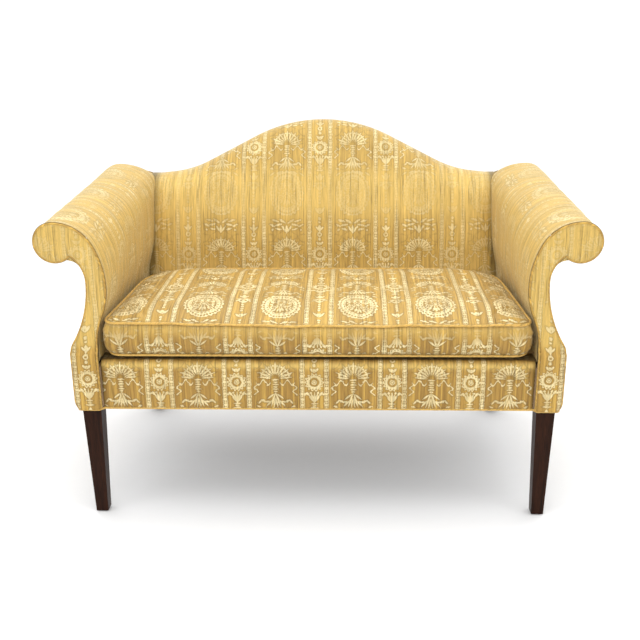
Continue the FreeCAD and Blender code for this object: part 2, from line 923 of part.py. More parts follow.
def web_level():
    return dim("rail_top") + dim("web_thickness") + dim("web_play")


def seat_webbing():
    cross_places = evenly(dim("web_pitch_cross"), SEAT_WEBS["cross"])
    depths = [dim("web_first") + i * dim("web_pitch_long") for i in range(SEAT_WEBS["long"])]
    x_way, y_way, up = Vector(1, 0, 0), Vector(0, 1, 0), Vector(0, 0, 1)
    long_strips = []
    for i, depth in enumerate(depths):
        half = side_line(depth) - dim("web_margin")
        points = wave(cross_places, (-half, half), i % 2 == 0)
        origin = Vector(0, row_y(depth), web_level())
        long_strips.append(strip(points, x_way, y_way, up, origin))
    cross_strips = []
    start = COVER + dim("web_margin")
    end = dim("rear_rail_depth") - dim("web_margin")
    for j, x in enumerate(cross_places):
        points = wave([row_y(depth) for depth in depths], (row_y(start), row_y(end)), j % 2 == 1)
        cross_strips.append(strip(points, y_way, x_way, up, Vector(x, 0, web_level())))
    piece("seat_webbing_long", Part.makeCompound(long_strips))
    piece("seat_webbing_cross", Part.makeCompound(cross_strips))


# Back webbing, in the leaning plane in front of the back boards
def back_webbing():
    up = Vector(0, math.sin(RAKE), math.cos(RAKE))
    out = Vector(0, -math.cos(RAKE), math.sin(RAKE))
    x_way = Vector(1, 0, 0)
    forward = dim("sheet_cover") + dim("back_board") + dim("web_thickness") + dim("web_play")
    base = Vector(0, row_y(back_depth(dim("back_rise"))), dim("back_rise")) + out * forward
    lowest = dim("back_web_low") - dim("back_rise")
    rows = [lowest + i * dim("back_web_step") for i in range(BACK_WEBS["across"])]
    columns = evenly(dim("back_web_pitch"), BACK_WEBS["upright"])
    half = post_inner() + dim("post_width") / 2
    across = []
    for i, row in enumerate(rows):
        points = wave(columns, (-half, half), i % 2 == 0)
        across.append(strip(points, x_way, up, out, base + up * row))
    upright = []
    low = dim("lower_rail_bottom") - dim("back_rise") + dim("web_margin")
    reach = dim("web_width") / 2
    for j, x in enumerate(columns):
        edge = camel_height(abs(x) + reach, dim("crest_padding") + dim("web_margin"))
        points = wave(rows, (low, edge - dim("back_rise")), j % 2 == 1)
        upright.append(strip(points, up, x_way, out, base + x_way * x))
    piece("back_webbing_across", Part.makeCompound(across))
    piece("back_webbing_upright", Part.makeCompound(upright))


# A leaning sheet under the camel line, between two distances in front of the outside back
def camel_slab(drop, half, bottom, back, front):
    path = lifted(camel_path(drop, half), lean_rise())
    wire = to_wire(closed_below(path, bottom),
                   lambda x, z: Vector(x, row_y(back_depth(dim("back_rise"))) - back, z))
    slab = Part.Face(wire).extrude(Vector(0, back - front, 0))
    pivot = Vector(0, row_y(back_depth(dim("back_rise"))), dim("back_rise"))
    slab.rotate(pivot, Vector(1, 0, 0), -math.degrees(RAKE))
    return slab


def web_front():
    layers = 2 * (dim("web_thickness") + dim("web_play"))
    return dim("sheet_cover") + dim("back_board") + layers


def back_burlap():
    back = web_front()
    drop = dim("crest_padding") + dim("web_margin")
    piece("back_burlap", camel_slab(drop, post_inner(), dim("lower_rail_bottom"), back,
                                    back + dim("burlap")))


# The room that the frame, webbing and burlap of the back take up, to a half width
def back_frame_space(half):
    front = web_front() + dim("burlap") + GAP
    return camel_slab(dim("crest_padding") - GAP, half, 0, 0, front)


# Inside back: padded cover with a rolled top that passes over the crest rail

def face_circle():
    low = (dim("back_foot_depth"), deck_top())
    high = (dim("back_face_depth"), dim("back_face_height"))
    chord = math.dist(low, high)
    sag = dim("back_crown")
    radius = (chord / 2) ** 2 / (2 * sag) + sag / 2
    middle = ((low[0] + high[0]) / 2, (low[1] + high[1]) / 2)
    unit = ((high[1] - low[1]) / chord, -(high[0] - low[0]) / chord)
    return (middle[0] + unit[0] * (radius - sag), middle[1] + unit[1] * (radius - sag)), radius


def face_depth(height):
    centre, radius = face_circle()
    return centre[0] - math.sqrt(radius ** 2 - (height - centre[1]) ** 2)


def back_section(x):
    top = camel_height(x)
    low = deck_top() + GAP
    edge = top - dim("back_roll_drop")
    rim = top - dim("back_roll_peak")
    cover_back = dim("sheet_cover") + GAP
    peak = (face_depth(edge) + back_depth(rim, cover_back)) / 2

    foot = (face_depth(low), low)
    middle = (low + edge) / 2
    rolled = (face_depth(edge), edge)
    heel = (back_depth(rim, cover_back), rim)
    base = (back_depth(low, cover_back), low)
    return [through(foot, (face_depth(middle), middle), rolled), through(rolled, (peak, top), heel),
            line(heel, base), line(base, foot)]


def back_place(x):
    return lambda depth, height: Vector(x, row_y(depth), height)


def inside_back():
    half = dim("back_half")
    hump = dim("camel_hump")
    far = dim("camel_straight")
    places = [0, hump / 2, hump, (hump + far) / 2, far, (far + half) / 2, half]
    across = [-x for x in reversed(places[1:])] + places
    outer = loft_through([back_section(x) for x in across], [back_place(x) for x in across])
    piece("inside_back", outer.cut(back_frame_space(REACH / 2)))


# Outside back: one sheet, upright behind the seat rail and leaning above it

def arm_whole(sign):
    def outline(a):
        return joined([inner_path(a, dim("rail_bottom")), outer_path(a, dim("rail_bottom"))])
    return arm_loft(sign, outline, COVER + GAP, -REACH / 10)


def outside_back():
    thick = dim("sheet_cover")
    low = dim("rail_bottom")
    rise = dim("back_rise")
    high = dim("camel_top") + dim("sheet_cover")
    points = [(back_depth(low), low), (back_depth(rise), rise), (back_depth(high), high),
              (back_depth(high, thick), high), (back_depth(rise) - thick, rise),
              (back_depth(low) - thick, low)]
    ring = [Vector(-REACH / 2, row_y(depth), height) for depth, height in points]
    sheet_shape = Part.Face(Part.makePolygon(ring + ring[:1])).extrude(Vector(REACH, 0, 0))
    half = dim("back_half") + dim("arm_padding")
    camel = to_wire(closed_below(camel_path(0, half), low), lambda x, z: Vector(x, 0, z))
    camel = Part.Face(camel).extrude(Vector(0, REACH / 2, 0))
    outline = camel.fuse([arm_whole(sign) for sign in SIDES.values()])
    piece("outside_back", sheet_shape.common(outline))


# Arm covers

def arm_covers(name, sign):
    deck = deck_top() + GAP
    hem = dim("rail_bottom")

    def padded(a):
        path = inner_path(a, deck)
        return joined([path, back_to_front(shifted(path, dim("arm_padding")))])

    def outside(a):
        path = outer_path(a, hem)
        return joined([path, back_to_front(shifted(path, dim("side_cover")))])

    start = COVER + GAP
    end = dim("sheet_cover") + GAP
    inside = arm_loft(sign, padded, start, end).cut(back_frame_space(post_inner() + GAP))
    piece("inside_arm_" + name, inside)
    piece("outside_arm_" + name, arm_loft(sign, outside, start, end))


# Inner and outer line of the facing, with the outer line's start at the notch on its own
def facing_paths(inset):
    sizes = arm_sizes("front")
    hem = dim("rail_bottom")
    inner = inner_path(sizes, hem)
    outer = outer_path(sizes, hem)
    neck = outer[0]
    skip = neck["a"] + math.degrees(2 * dim("welt_radius") / neck["r"]) + 1
    notch = arc(neck["c"], neck["r"], neck["a"], skip)
    outer[0] = arc(neck["c"], neck["r"], skip, neck["b"])
    return [shifted(path, inset) for path in (inner, [notch], outer)]


# Facing of an arm: a padded panel, with a fuller block below the hip of its outline
def arm_facing(name, sign):
    label = "arm_facing_" + name
    inset = 2 * dim("welt_radius") + GAP
    path = turned(chorded(joined(facing_paths(inset))), sign)
    panel = board(label + "_panel", "XZ_Plane", path, -row_y(0), "dims.cover", True)
    outer = facing_paths(inset)[-1]
    near = dim("foot_x_front") + inset
    inner = [line((near, dim("rail_bottom")), (near, dim("hip_z")))]
    path = turned(chorded(joined([inner, outer[-2:]])), sign)
    block = board(label + "_block", "XZ_Plane", path, -row_y(0), "dims.facing_block")
    parts.remove(panel)
    parts.remove(block)
    fuse = doc.addObject("Part::Fuse", label)
    fuse.Base = panel
    fuse.Tool = block
    keep(fuse, label)


# A cord with flat sides along a path, mitred at each of its chords
def tube(path, place, radius, looped=False):
    normal = (place(1, 0) - place(0, 0)).cross(place(0, 1) - place(0, 0))
    spine = [place(*point) for point in corners_along(path, chord_counts(path))]
    if not looped:
        spine.append(place(*end_of(path[-1])))
    ways = [(q - p).normalize() for p, q in zip(spine, spine[1:])]
    last = (spine[0] - spine[-1]).normalize() if looped else ways[-1]
    before = [last if looped else ways[0]] + ways
    after = ways + [last]
    rings = []
    for point, way_in, way_out in zip(spine, before, after):
        side = (way_in + way_out).normalize().cross(normal)
        side = side * (1 / side.dot(way_in.cross(normal)))
        turns = [2 * math.pi * (i + 0.5) / CORD_SIDES for i in range(CORD_SIDES)]
        rings.append([point + (normal * math.cos(turn) + side * math.sin(turn)) * radius
                      for turn in turns])
    return skinned(rings, looped)


def facing_welt(name, sign):
    radius = dim("welt_radius")
    inner, notch, outer = facing_paths(radius)
    place = arm_place(sign, radius)
    cords = [tube(path, place, radius) for path in (inner, outer)]
    piece("facing_welt_" + name, Part.makeCompound(cords))


# Front rail cover, with a rounded lip over the edge roll

def deck_top():
    layers = dim("burlap") + dim("deck_pad") + dim("deck_cover")
    return web_level() + dim("web_thickness") + dim("web_play") + layers


def front_cover_path(inset):
    radius = dim("edge_round")
    top = dim("edge_top")
    low = dim("rail_bottom")
    centre = (radius, top - radius)
    path = [line((0, low), (0, top - radius)), arc(centre, radius, 180, 135),
            arc(centre, radius, 135, 90), line((radius, top), (dim("lip_depth"), top))]
    return shifted(path, inset)


def front_rail_cover():
    outer = front_cover_path(0)
    path = joined([outer, back_to_front(front_cover_path(COVER))])
    half = dim("foot_x_front") - 2 * dim("welt_radius") - GAP
    wire = to_wire(path, lambda depth, z: Vector(-half, row_y(depth), z))
    piece("front_rail_cover", Part.Face(wire).extrude(Vector(2 * half, 0, 0)))
    roll = front_cover_path(COVER + GAP)[1:]
    bottom = web_level() + dim("web_thickness") + dim("web_play") + GAP
    last = (end_of(roll[-1])[0], bottom)
    first = (start_of(roll[0])[0], bottom)
    roll = roll + [line(end_of(roll[-1]), last), line(last, first), line(first, start_of(roll[0]))]
    wire = to_wire(roll, lambda depth, z: Vector(-half, row_y(depth), z))
    piece("front_edge_roll", Part.Face(wire).extrude(Vector(2 * half, 0, 0)))


# Flat layers of the seat, between two half widths and two depths
def layer(label, bottom, thickness, halves, depths, holes=()):
    corners = [(-halves[0], depths[0]), (halves[0], depths[0]), (halves[1], depths[1]),
               (-halves[1], depths[1])]
    ring = [Vector(x, row_y(depth), bottom) for x, depth in corners]
    slab = Part.Face(Part.makePolygon(ring + ring[:1])).extrude(Vector(0, 0, thickness))
    piece(label, slab.cut(list(holes)) if holes else slab)


def seat_layers():
    start = dim("lip_depth") + GAP
    end = dim("rear_rail_depth") - dim("post_depth") - GAP
    margin = dim("web_margin")
    halves = (side_line(start) - margin, side_line(end) - margin)
    level = web_level() + dim("web_thickness") + dim("web_play")
    layer("seat_burlap", level, dim("burlap"), halves, (start, end))
    level += dim("burlap")
    layer("deck_pad", level, dim("deck_pad"), halves, (start, end))
    layer("deck_cover", level + dim("deck_pad"), dim("deck_cover"), halves, (start, end))


def dust_cover():
    thick = dim("dust_cover")
    low = dim("rail_bottom") - thick
    front = COVER + GAP
    rear = dim("rear_rail_depth") - GAP
    legs = []
    for sign in SIDES.values():
        for x, depth, size in ((leg_x(), leg_depth(), dim("leg_top")),
                               (dim("frame_half_rear") - dim("post_width") / 2,
                                dim("rear_rail_depth") - dim("post_depth") / 2,
                                dim("post_width"))):
            reach = size + 2 * GAP
            legs.append(Part.makeBox(reach, reach + dim("dust_back"), 4 * thick,
                                     Vector(sign * x - reach / 2, row_y(depth) - reach / 2,
                                            low - thick)))
    halves = (side_line(front) - GAP, side_line(rear) - GAP)
    layer("dust_cover", low, thick, halves, (front, rear), legs)


# Closed path through corners in plan, anticlockwise, each corner rounded
def rounded(corners, radius):
    turns = []
    for i, corner in enumerate(corners):
        ways = []
        for other in (corners[i - 1], corners[(i + 1) % len(corners)]):
            size = math.dist(corner, other)
            ways.append(((other[0] - corner[0]) / size, (other[1] - corner[1]) / size))
        (ax, ay), (bx, by) = ways
        half = math.acos(ax * bx + ay * by) / 2
        reach = radius / math.tan(half)
        far = radius / math.sin(half) / math.hypot(ax + bx, ay + by)
        centre = (corner[0] + (ax + bx) * far, corner[1] + (ay + by) * far)
        entry = (corner[0] + ax * reach, corner[1] + ay * reach)
        start = math.degrees(math.atan2(entry[1] - centre[1], entry[0] - centre[0]))
        turns.append(arc(centre, radius, start, start + 180 - 2 * math.degrees(half)))
    path = []
    for turn, following in zip(turns, turns[1:] + turns[:1]):
        path += [turn, line(end_of(turn), start_of(following))]
    return path


def level_place(height):
    return lambda x, y: Vector(x, y, height)


def bottom_welt():
    radius = dim("welt_radius")
    front = radius - GAP
    rear = dim("rear_rail_depth") + dim("sheet_cover") / 2 + radius / 2
    wide = (dim("hem_x_front") + GAP, dim("hem_x_rear") + GAP)
    corners = [(-wide[0], row_y(front)), (wide[0], row_y(front)),
               (wide[1], row_y(rear)), (-wide[1], row_y(rear))]
    level = dim("rail_bottom") - radius
    piece("bottom_welt", tube(rounded(corners, 2 * radius), level_place(level), radius, True))


# Cushion

def cushion_bottom():
    return deck_top() + GAP


def cushion_corners(inset):
    front = dim("cushion_overhang") * -1 + inset
    rear = dim("cushion_rear") - inset
    wide = (dim("cushion_half_front") - inset, dim("cushion_half_rear") - inset)
    return [(-wide[0], row_y(front)), (wide[0], row_y(front)),
            (wide[1], row_y(rear)), (-wide[1], row_y(rear))]


# How far the boxing is set in from the welts' outer edge, at a share of its height
def boxing_inset(share):
    seam = 2 * dim("welt_radius") + GAP
    low, high = BOXING_UPRIGHT
    bulge = dim("boxing_bulge")
    if share < low:
        return (seam + dim("boxing_tuck") + bulge) * (1 - share / low) ** 2 - bulge
    return (seam + bulge) * (max(0, share - high) / (1 - high)) ** 2 - bulge


# Outer form of the stuffing at an inset: full boxing tucked under below, and a crowned top
def cushion_form(skin):
    radius = dim("welt_radius")
    base = cushion_bottom()
    seam = 2 * radius + GAP
    high = base + radius + dim("boxing")
    first = base + 2 * radius + GAP
    last = high - radius - GAP
    stations = [(base + skin, boxing_inset(0) + seam), (base + radius, boxing_inset(0))]
    for share in BOXING_STATIONS:
        stations.append((first + share * (last - first), boxing_inset(share)))
    stations.append((high - skin, seam))
    for share in CROWN_STATIONS:
        rise = dim("cushion_crown") * (1 - (1 - share) ** 2)
        stations.append((high + rise - skin, seam + share * dim("crown_reach")))
    paths = [rounded(cushion_corners(inset + skin), dim("cushion_corner"))
             for level, inset in stations]
    return loft_through(paths, [level_place(level) for level, inset in stations])


def cushion_ring(level, tuck):
    radius = dim("welt_radius")
    path = rounded(cushion_corners(radius + tuck), dim("cushion_corner") + radius)
    return tube(path, level_place(level), radius, True)


def zip_depth():
    return dim("cushion_rear") + dim("boxing_bulge")


def zip_level():
    return cushion_bottom() + dim("welt_radius") + dim("boxing") / 2


def zip_box(label, length, height, depth, thickness, left):
    box = doc.addObject("Part::Box", label)
    box.setExpression("Length", length)
    box.setExpression("Width", thickness)
    box.setExpression("Height", height)
    box.Placement.Base = Vector(left, row_y(depth), zip_level() - dim(height[5:]) / 2)
    return box


def cushion():
    skin = dim("cushion_skin")
    outer = cushion_form(0)
    piece("cushion_cover", outer.cut(cushion_form(skin)))
    piece("cushion_core", cushion_form(skin + GAP))
    base = cushion_bottom() + dim("welt_radius")
    piece("cushion_welt_bottom", cushion_ring(base, dim("boxing_tuck")))
    piece("cushion_welt_top", cushion_ring(base + dim("boxing"), 0))
    left = -dim("zip_length") / 2
    tape = zip_box("zip_tape", "dims.zip_length", "dims.zip_tape", zip_depth() + GAP,
                   "dims.zip_tape_thickness", left)
    keep(tape, "zip_tape")
    chain_depth = zip_depth() + GAP + dim("zip_tape_thickness")
    chain = zip_box("zip_chain", "dims.zip_length", "dims.zip_chain", chain_depth,
                    "dims.zip_chain_height", left)
    keep(chain, "zip_chain")
    slider = zip_box("slider_block", "dims.slider_length", "dims.slider_width",
                     chain_depth + dim("slider_clearance"), "dims.slider_height",
                     left + dim("slider_start"))
    groove = doc.addObject("Part::Box", "slider_groove")
    groove.Length = 2 * dim("slider_length")
    groove.Width = dim("zip_chain_height") + dim("slider_clearance")
    groove.Height = dim("zip_chain") + 2 * dim("slider_clearance")
    groove.Placement.Base = Vector(left, row_y(chain_depth),
                                   zip_level() - groove.Height.Value / 2)
    cut = doc.addObject("Part::Cut", "zip_slider")
    cut.Base = slider
    cut.Tool = groove
    keep(cut, "zip_slider")


def build():
    for name, sign in SIDES.items():
        front_leg(name, sign)
        back_post(name, sign)
        side_rail(name, sign)
    rail_back = dim("rear_rail_depth") - dim("rail_thickness")
    cross_rail("front_rail", leg_inner(), COVER, leg_inner())
    cross_rail("rear_rail", post_inner(), rail_back, post_inner())
    seat_brace()
    corner_blocks_and_screws()
    foot_glides()
    crest_rail()
    lower_back_rail()
    for name, sign in SIDES.items():
        back_upright(name, sign)
        arm_post(name, sign)
        arm_top_rail(name, sign)
        arm_tack_rail(name, sign)
        arm_covers(name, sign)
        arm_facing(name, sign)
        facing_welt(name, sign)
    seat_webbing()
    back_webbing()
    back_burlap()
    inside_back()
    outside_back()
    front_rail_cover()
    seat_layers()
    dust_cover()
    bottom_welt()
    cushion()


build()
doc.recompute()

bad = [obj.Name for obj in doc.Objects if "Invalid" in obj.State or "Error" in obj.State]
if bad:
    raise RuntimeError("Failed objects: " + ", ".join(bad))
labels = [obj.Label for obj in parts]
if len(set(labels)) != len(labels):
    raise RuntimeError("A label is used twice")
for obj in parts:
    if obj.Shape.isNull() or not obj.Shape.isValid() or not obj.Shape.Solids:
        raise RuntimeError("Bad shape: " + obj.Label)

os.makedirs("parts", exist_ok=True)
for obj in parts:
    obj.Shape.exportStep("parts/%s.step" % obj.Label)
print(len(parts), "pieces")
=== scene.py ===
import math

import bmesh
import bpy
import numpy as np
from mathutils import Matrix, Vector


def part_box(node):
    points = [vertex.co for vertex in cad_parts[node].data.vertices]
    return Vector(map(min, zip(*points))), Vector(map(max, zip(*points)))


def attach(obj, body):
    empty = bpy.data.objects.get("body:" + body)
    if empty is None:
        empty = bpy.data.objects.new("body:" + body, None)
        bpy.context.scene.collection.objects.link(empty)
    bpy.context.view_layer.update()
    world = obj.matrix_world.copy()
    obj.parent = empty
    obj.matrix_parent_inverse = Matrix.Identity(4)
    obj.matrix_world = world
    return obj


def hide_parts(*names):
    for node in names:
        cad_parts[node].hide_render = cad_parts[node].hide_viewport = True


# Dressed camelback sofa in gold silk, in metres, in the frame's own axes.
# In plan, depth is counted backwards from the front plane of the arm facings.

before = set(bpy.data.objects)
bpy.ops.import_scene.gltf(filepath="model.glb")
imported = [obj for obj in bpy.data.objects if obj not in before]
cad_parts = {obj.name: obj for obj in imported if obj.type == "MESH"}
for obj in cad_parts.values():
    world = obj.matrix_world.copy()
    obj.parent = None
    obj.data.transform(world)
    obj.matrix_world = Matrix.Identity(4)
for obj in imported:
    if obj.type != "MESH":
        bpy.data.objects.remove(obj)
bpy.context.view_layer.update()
rng = np.random.default_rng(11)

# Frame of the sofa
POST_FRONT = 0.006
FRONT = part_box("arm_post_left")[0].y - POST_FRONT
HEM = 0.297
RAIL_COVER_TOP = 0.4185
EDGE_ROUND = 0.014
LIP_DEPTH = 0.0335
DECK = 0.4285
RAIL_HALF = 0.5168
WELT = 0.003
CORD_SIDES = 12
CORD_SPACING = 0.006
CORD_UNEVEN = 0.05
CORD_TWIST = 0.021
WAVE_SPREAD = (0.6, 1.5)
WAVE_GAIN = 1.4

# Outside of the back
BACK_RISE = 0.410
BACK_UPRIGHT_DEPTH = 0.604
BACK_SLOPE = 0.181

# Camel line
CAMEL_TOP = 0.902
CAMEL_RADIUS = 0.424
CAMEL_HUMP = 0.190
CAMEL_STRAIGHT = 0.325
CAMEL_HOLLOW = 0.300
CAMEL_END_SLOPE = 0.105
BACK_HALF = 0.467

# Inside back
FACE_LOW = (0.476, 0.4285)
FACE_HIGH = (0.597, 0.825)
FACE_CROWN = 0.024
ROLL_DROP = 0.055
ROLL_PEAK = 0.014

# Arms: outline at the front and at the rear end
ARM_LENGTH = 0.700
ROLL_RADIUS = 0.048
FOOT_Z = 0.455
BEND_TOP = 0.600
HIP_Z = 0.440
HIP_RADIUS = 0.040
HEM_CURVE_TOP = 0.320
UPRIGHT_STEP = 0.001
ARM_FRONT = {
    "roll": (0.600, 0.704), "inner": (0.487, 0.600), "shoulder": 0.100, "foot": 0.518,
    "notch": -136.7, "neck": (0.535, 0.612), "hip": 0.584, "hem": 0.5765,
}
ARM_REAR = {
    "roll": (0.566, 0.757), "inner": (0.467, 0.751), "shoulder": 0.260, "foot": 0.470,
    "notch": -104.0, "neck": (0.553, 0.670), "hip": 0.558, "hem": 0.552,
}
BLOCK_PROUD = 0.015

# Seat cushion
CUSHION_BASE = 0.4293
CUSHION_FRONT = -0.012
CUSHION_REAR = 0.472
CUSHION_HALF_FRONT = 0.506
CUSHION_HALF_REAR = 0.478
CUSHION_CORNER = 0.034
BOXING = 0.079
BOXING_BULGE = 0.003
BOXING_TUCK = 0.010
SIDE_TUCK = 0.002
CLOTH_SHIFT = 0.011
CROWN = 0.019
CROWN_REACH = 0.170

# Silk pattern: repeat across and along, and where the rosette of the front rail stands
REPEAT_ACROSS = 0.1855
REPEAT_ALONG = 0.300
ROSETTE_X = -0.006
ROSETTE_Z = 0.366


def row_y(depth):
    return FRONT + depth


def smooth(x):
    t = np.clip(x, 0, 1)
    return t * t * (3 - 2 * t)


# Falls off from 1 at a middle value
def bell(x, middle, reach):
    return np.exp(-((x - middle) / reach) ** 2)


# Falls off from 1 at a seam
def near(distance, reach):
    return np.exp(-distance / reach)


# Outlines: arrays of plane points

def arc_points(centre, radius, start, end, count):
    turn = np.radians(np.linspace(start, end, count + 1))
    return np.column_stack([centre[0] + radius * np.cos(turn),
                            centre[1] + radius * np.sin(turn)])


def line_points(start, end, count):
    return np.linspace(start, end, count + 1)


def chain(*pieces):
    return np.vstack([pieces[0]] + [piece[1:] for piece in pieces[1:]])


# Two arcs between two upright tangents
def upright_bend(start, end, first_share, count):
    dx = end[0] - start[0]
    dz = end[1] - start[1]
    half = math.atan(abs(dx) / abs(dz))
    turn = math.degrees(2 * half)
    total = abs(dz) / math.sin(2 * half)
    first = total * first_share
    second = total - first
    if dz > 0:
        return chain(arc_points((start[0] - first, start[1]), first, 0, turn, count),
                     arc_points((end[0] + second, end[1]), second, 180 + turn, 180, count))
    return chain(arc_points((start[0] + first, start[1]), first, 180, 180 + turn, count),
                 arc_points((end[0] - second, end[1]), second, turn, 0, count))


# Up the inner face, over the roll and round the scroll to the notch
def inner_outline(arm, bottom):
    roll_x, roll_z = arm["roll"]
    inner_x, inner_z = arm["inner"]
    top = roll_z + ROLL_RADIUS
    big = arm["shoulder"]
    across = inner_x - roll_x
    up = inner_z - top + big
    low = (big ** 2 - across ** 2 - up ** 2) / (2 * (across + big))
    low_centre = (inner_x + low, inner_z + UPRIGHT_STEP)
    big_centre = (roll_x, top - big + UPRIGHT_STEP)
    toward = 1 if low > big else -1
    knee = math.degrees(math.atan2(toward * (big_centre[1] - low_centre[1]),
                                   toward * (big_centre[0] - low_centre[0])))
    foot = (arm["foot"], FOOT_Z)
    bend_end = (inner_x, BEND_TOP)
    return chain(line_points((arm["foot"], bottom), foot, 5),
                 upright_bend(foot, bend_end, 0.5, 12),
                 line_points(bend_end, (inner_x, inner_z + UPRIGHT_STEP), 14),
                 arc_points(low_centre, low, 180, knee, 12),
                 arc_points(big_centre, big, knee, 90, 14),
                 arc_points((roll_x, roll_z + UPRIGHT_STEP), ROLL_RADIUS, 90, arm["notch"], 36))


# From the notch down the outer face to the hem
def outer_outline(arm, bottom):
    centre = (arm["roll"][0], arm["roll"][1] + UPRIGHT_STEP)
    notch = math.radians(arm["notch"])
    start = (centre[0] + ROLL_RADIUS * math.cos(notch),
             centre[1] + ROLL_RADIUS * math.sin(notch))
    neck_x, neck_z = arm["neck"]
    dx = start[0] - neck_x
    dz = start[1] - neck_z
    neck = (dx ** 2 + dz ** 2) / (2 * dx)
    first = math.degrees(math.atan2(dz, start[0] - neck_x - neck))
    fall = neck_z - HIP_Z
    total = fall / math.sin(2 * math.atan((arm["hip"] - neck_x) / fall))
    hip = (arm["hip"], HIP_Z)
    curve_top = (arm["hip"], HEM_CURVE_TOP)
    dx = arm["hip"] - arm["hem"]
    dz = HEM_CURVE_TOP - bottom
    hem = (dx ** 2 + dz ** 2) / (2 * dx)
    turn = math.degrees(math.asin(dz / hem))
    return chain(arc_points((neck_x + neck, neck_z), neck, first, 180, 16),
                 upright_bend((neck_x, neck_z), hip, 1 - HIP_RADIUS / total, 18),
                 line_points(hip, curve_top, 18),
                 arc_points((arm["hip"] - hem, HEM_CURVE_TOP), hem, 0, -turn, 6))


def lengths_along(points):
    steps = np.linalg.norm(np.diff(points, axis=0), axis=1)
    return np.concatenate([[0], np.cumsum(steps)])


def resampled(points, count):
    along = lengths_along(points)
    wanted = np.linspace(0, along[-1], count + 1)
    return np.column_stack([np.interp(wanted, along, column) for column in points.T])


# Outside of the back: depth at a height
def back_plane(height):
    return BACK_UPRIGHT_DEPTH + np.maximum(0, height - BACK_RISE) * BACK_SLOPE


def camel_height(x):
    place = abs(x)
    lean = math.asin(CAMEL_HUMP / CAMEL_RADIUS)
    top = CAMEL_TOP - CAMEL_RADIUS
    if place <= CAMEL_HUMP:
        return top + math.sqrt(CAMEL_RADIUS ** 2 - place ** 2)
    slope = math.tan(lean)
    start = top + CAMEL_RADIUS * math.cos(lean)
    if place <= CAMEL_STRAIGHT:
        return start - (place - CAMEL_HUMP) * slope
    flank = start - (CAMEL_STRAIGHT - CAMEL_HUMP) * slope
    centre = (CAMEL_STRAIGHT + CAMEL_HOLLOW * math.sin(lean),
              flank + CAMEL_HOLLOW * math.cos(lean))
    last = math.atan(CAMEL_END_SLOPE)
    foot = (centre[0] - CAMEL_HOLLOW * math.sin(last), centre[1] - CAMEL_HOLLOW * math.cos(last))
    if place <= foot[0]:
        return centre[1] - math.sqrt(CAMEL_HOLLOW ** 2 - (place - centre[0]) ** 2)
    return foot[1] - (place - foot[0]) * CAMEL_END_SLOPE


# Arc from a first place through a second to a third
def arc_through(p, q, r, count):
    ax, ay, bx, by = q[0] - p[0], q[1] - p[1], r[0] - p[0], r[1] - p[1]
    twice = 2 * (ax * by - ay * bx)
    a2, b2 = ax * ax + ay * ay, bx * bx + by * by
    centre = (p[0] + (by * a2 - ay * b2) / twice, p[1] + (ax * b2 - bx * a2) / twice)
    start, end = [math.degrees(math.atan2(w[1] - centre[1], w[0] - centre[0])) for w in (p, r)]
    if twice > 0 and end < start:
        end += 360
    if twice < 0 and end > start:
        end -= 360
    return arc_points(centre, math.dist(p, centre), start, end, count)


# Smooth uneven field, mostly between -1 and 1, summed from a few seeded waves
def ripples(u, v, across, along, count=6):
    field = np.zeros_like(u)
    for _ in range(count):
        turn = rng.uniform(0, 2 * math.pi)
        ku = 2 * math.pi / across * rng.uniform(*WAVE_SPREAD)
        kv = 2 * math.pi / along * rng.uniform(*WAVE_SPREAD)
        field += np.sin(ku * u + kv * v * rng.choice([-1, 1]) + turn)
    return field / count * WAVE_GAIN


# Unit steps along a path
def unit_ways(path, closed=False):
    if closed:
        ways = np.roll(path, -1, axis=0) - np.roll(path, 1, axis=0)
    else:
        ways = np.gradient(path, axis=0)
    return ways / np.linalg.norm(ways, axis=1, keepdims=True)


# Meshes

def placed(name, data):
    obj = bpy.data.objects.new(name, data)
    bpy.context.scene.collection.objects.link(obj)
    return obj


def add_object(name, mesh, body, material, rounded=True):
    obj = placed(name, mesh)
    mesh.materials.append(material)
    mesh.polygons.foreach_set("use_smooth", [rounded] * len(mesh.polygons))
    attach(obj, body)
    return obj


# Point values: strength of the woven figure, paleness that is painted sheen, and painted shade in seams
# and under the cushion
def finish_mesh(name, points, faces, corner_uvs, figure=None, pale=None, seam=None):
    mesh = bpy.data.meshes.new(name)
    mesh.from_pydata([tuple(p) for p in points], [], faces)
    layer = mesh.uv_layers.new(name="UVMap")
    layer.data.foreach_set("uv", np.asarray(corner_uvs, dtype=np.float32).ravel())
    for key, given, usual in (("figure", figure, 1.0), ("pale", pale, 0.0), ("seam", seam, 0.0)):
        layer = mesh.attributes.new(key, "FLOAT", "POINT")
        values = np.full(len(points), usual) if given is None else given
        layer.data.foreach_set("value", np.asarray(values, dtype=np.float32))
    mesh.update()
    return mesh


# A sheet of quads from a grid of points, with the cloth's own coordinates
def grid_mesh(name, points, uvs, figure=None, flip=False, pale=None, seam=None):
    rows, columns = points.shape[:2]
    faces = []
    for i in range(rows - 1):
        for j in range(columns - 1):
            quad = [i * columns + j, i * columns + j + 1,
                    (i + 1) * columns + j + 1, (i + 1) * columns + j]
            faces.append(quad[::-1] if flip else quad)
    flat_uvs = uvs.reshape(-1, 2)
    corner_uvs = [flat_uvs[k] for face in faces for k in face]
    spread = [None if value is None else np.broadcast_to(value, (rows, columns)).ravel()
              for value in (figure, pale, seam)]
    return finish_mesh(name, points.reshape(-1, 3), faces, corner_uvs, *spread)


# One silk cover of the sofa, from a grid of points and its places on the cloth
def cover(name, points, u, v, figure, flip=False, pale=None, seam=None):
    mesh = grid_mesh(name, points, np.stack([u, v], axis=2), figure, flip, pale, seam)
    return add_object(name, mesh, "sofa", DAMASK)
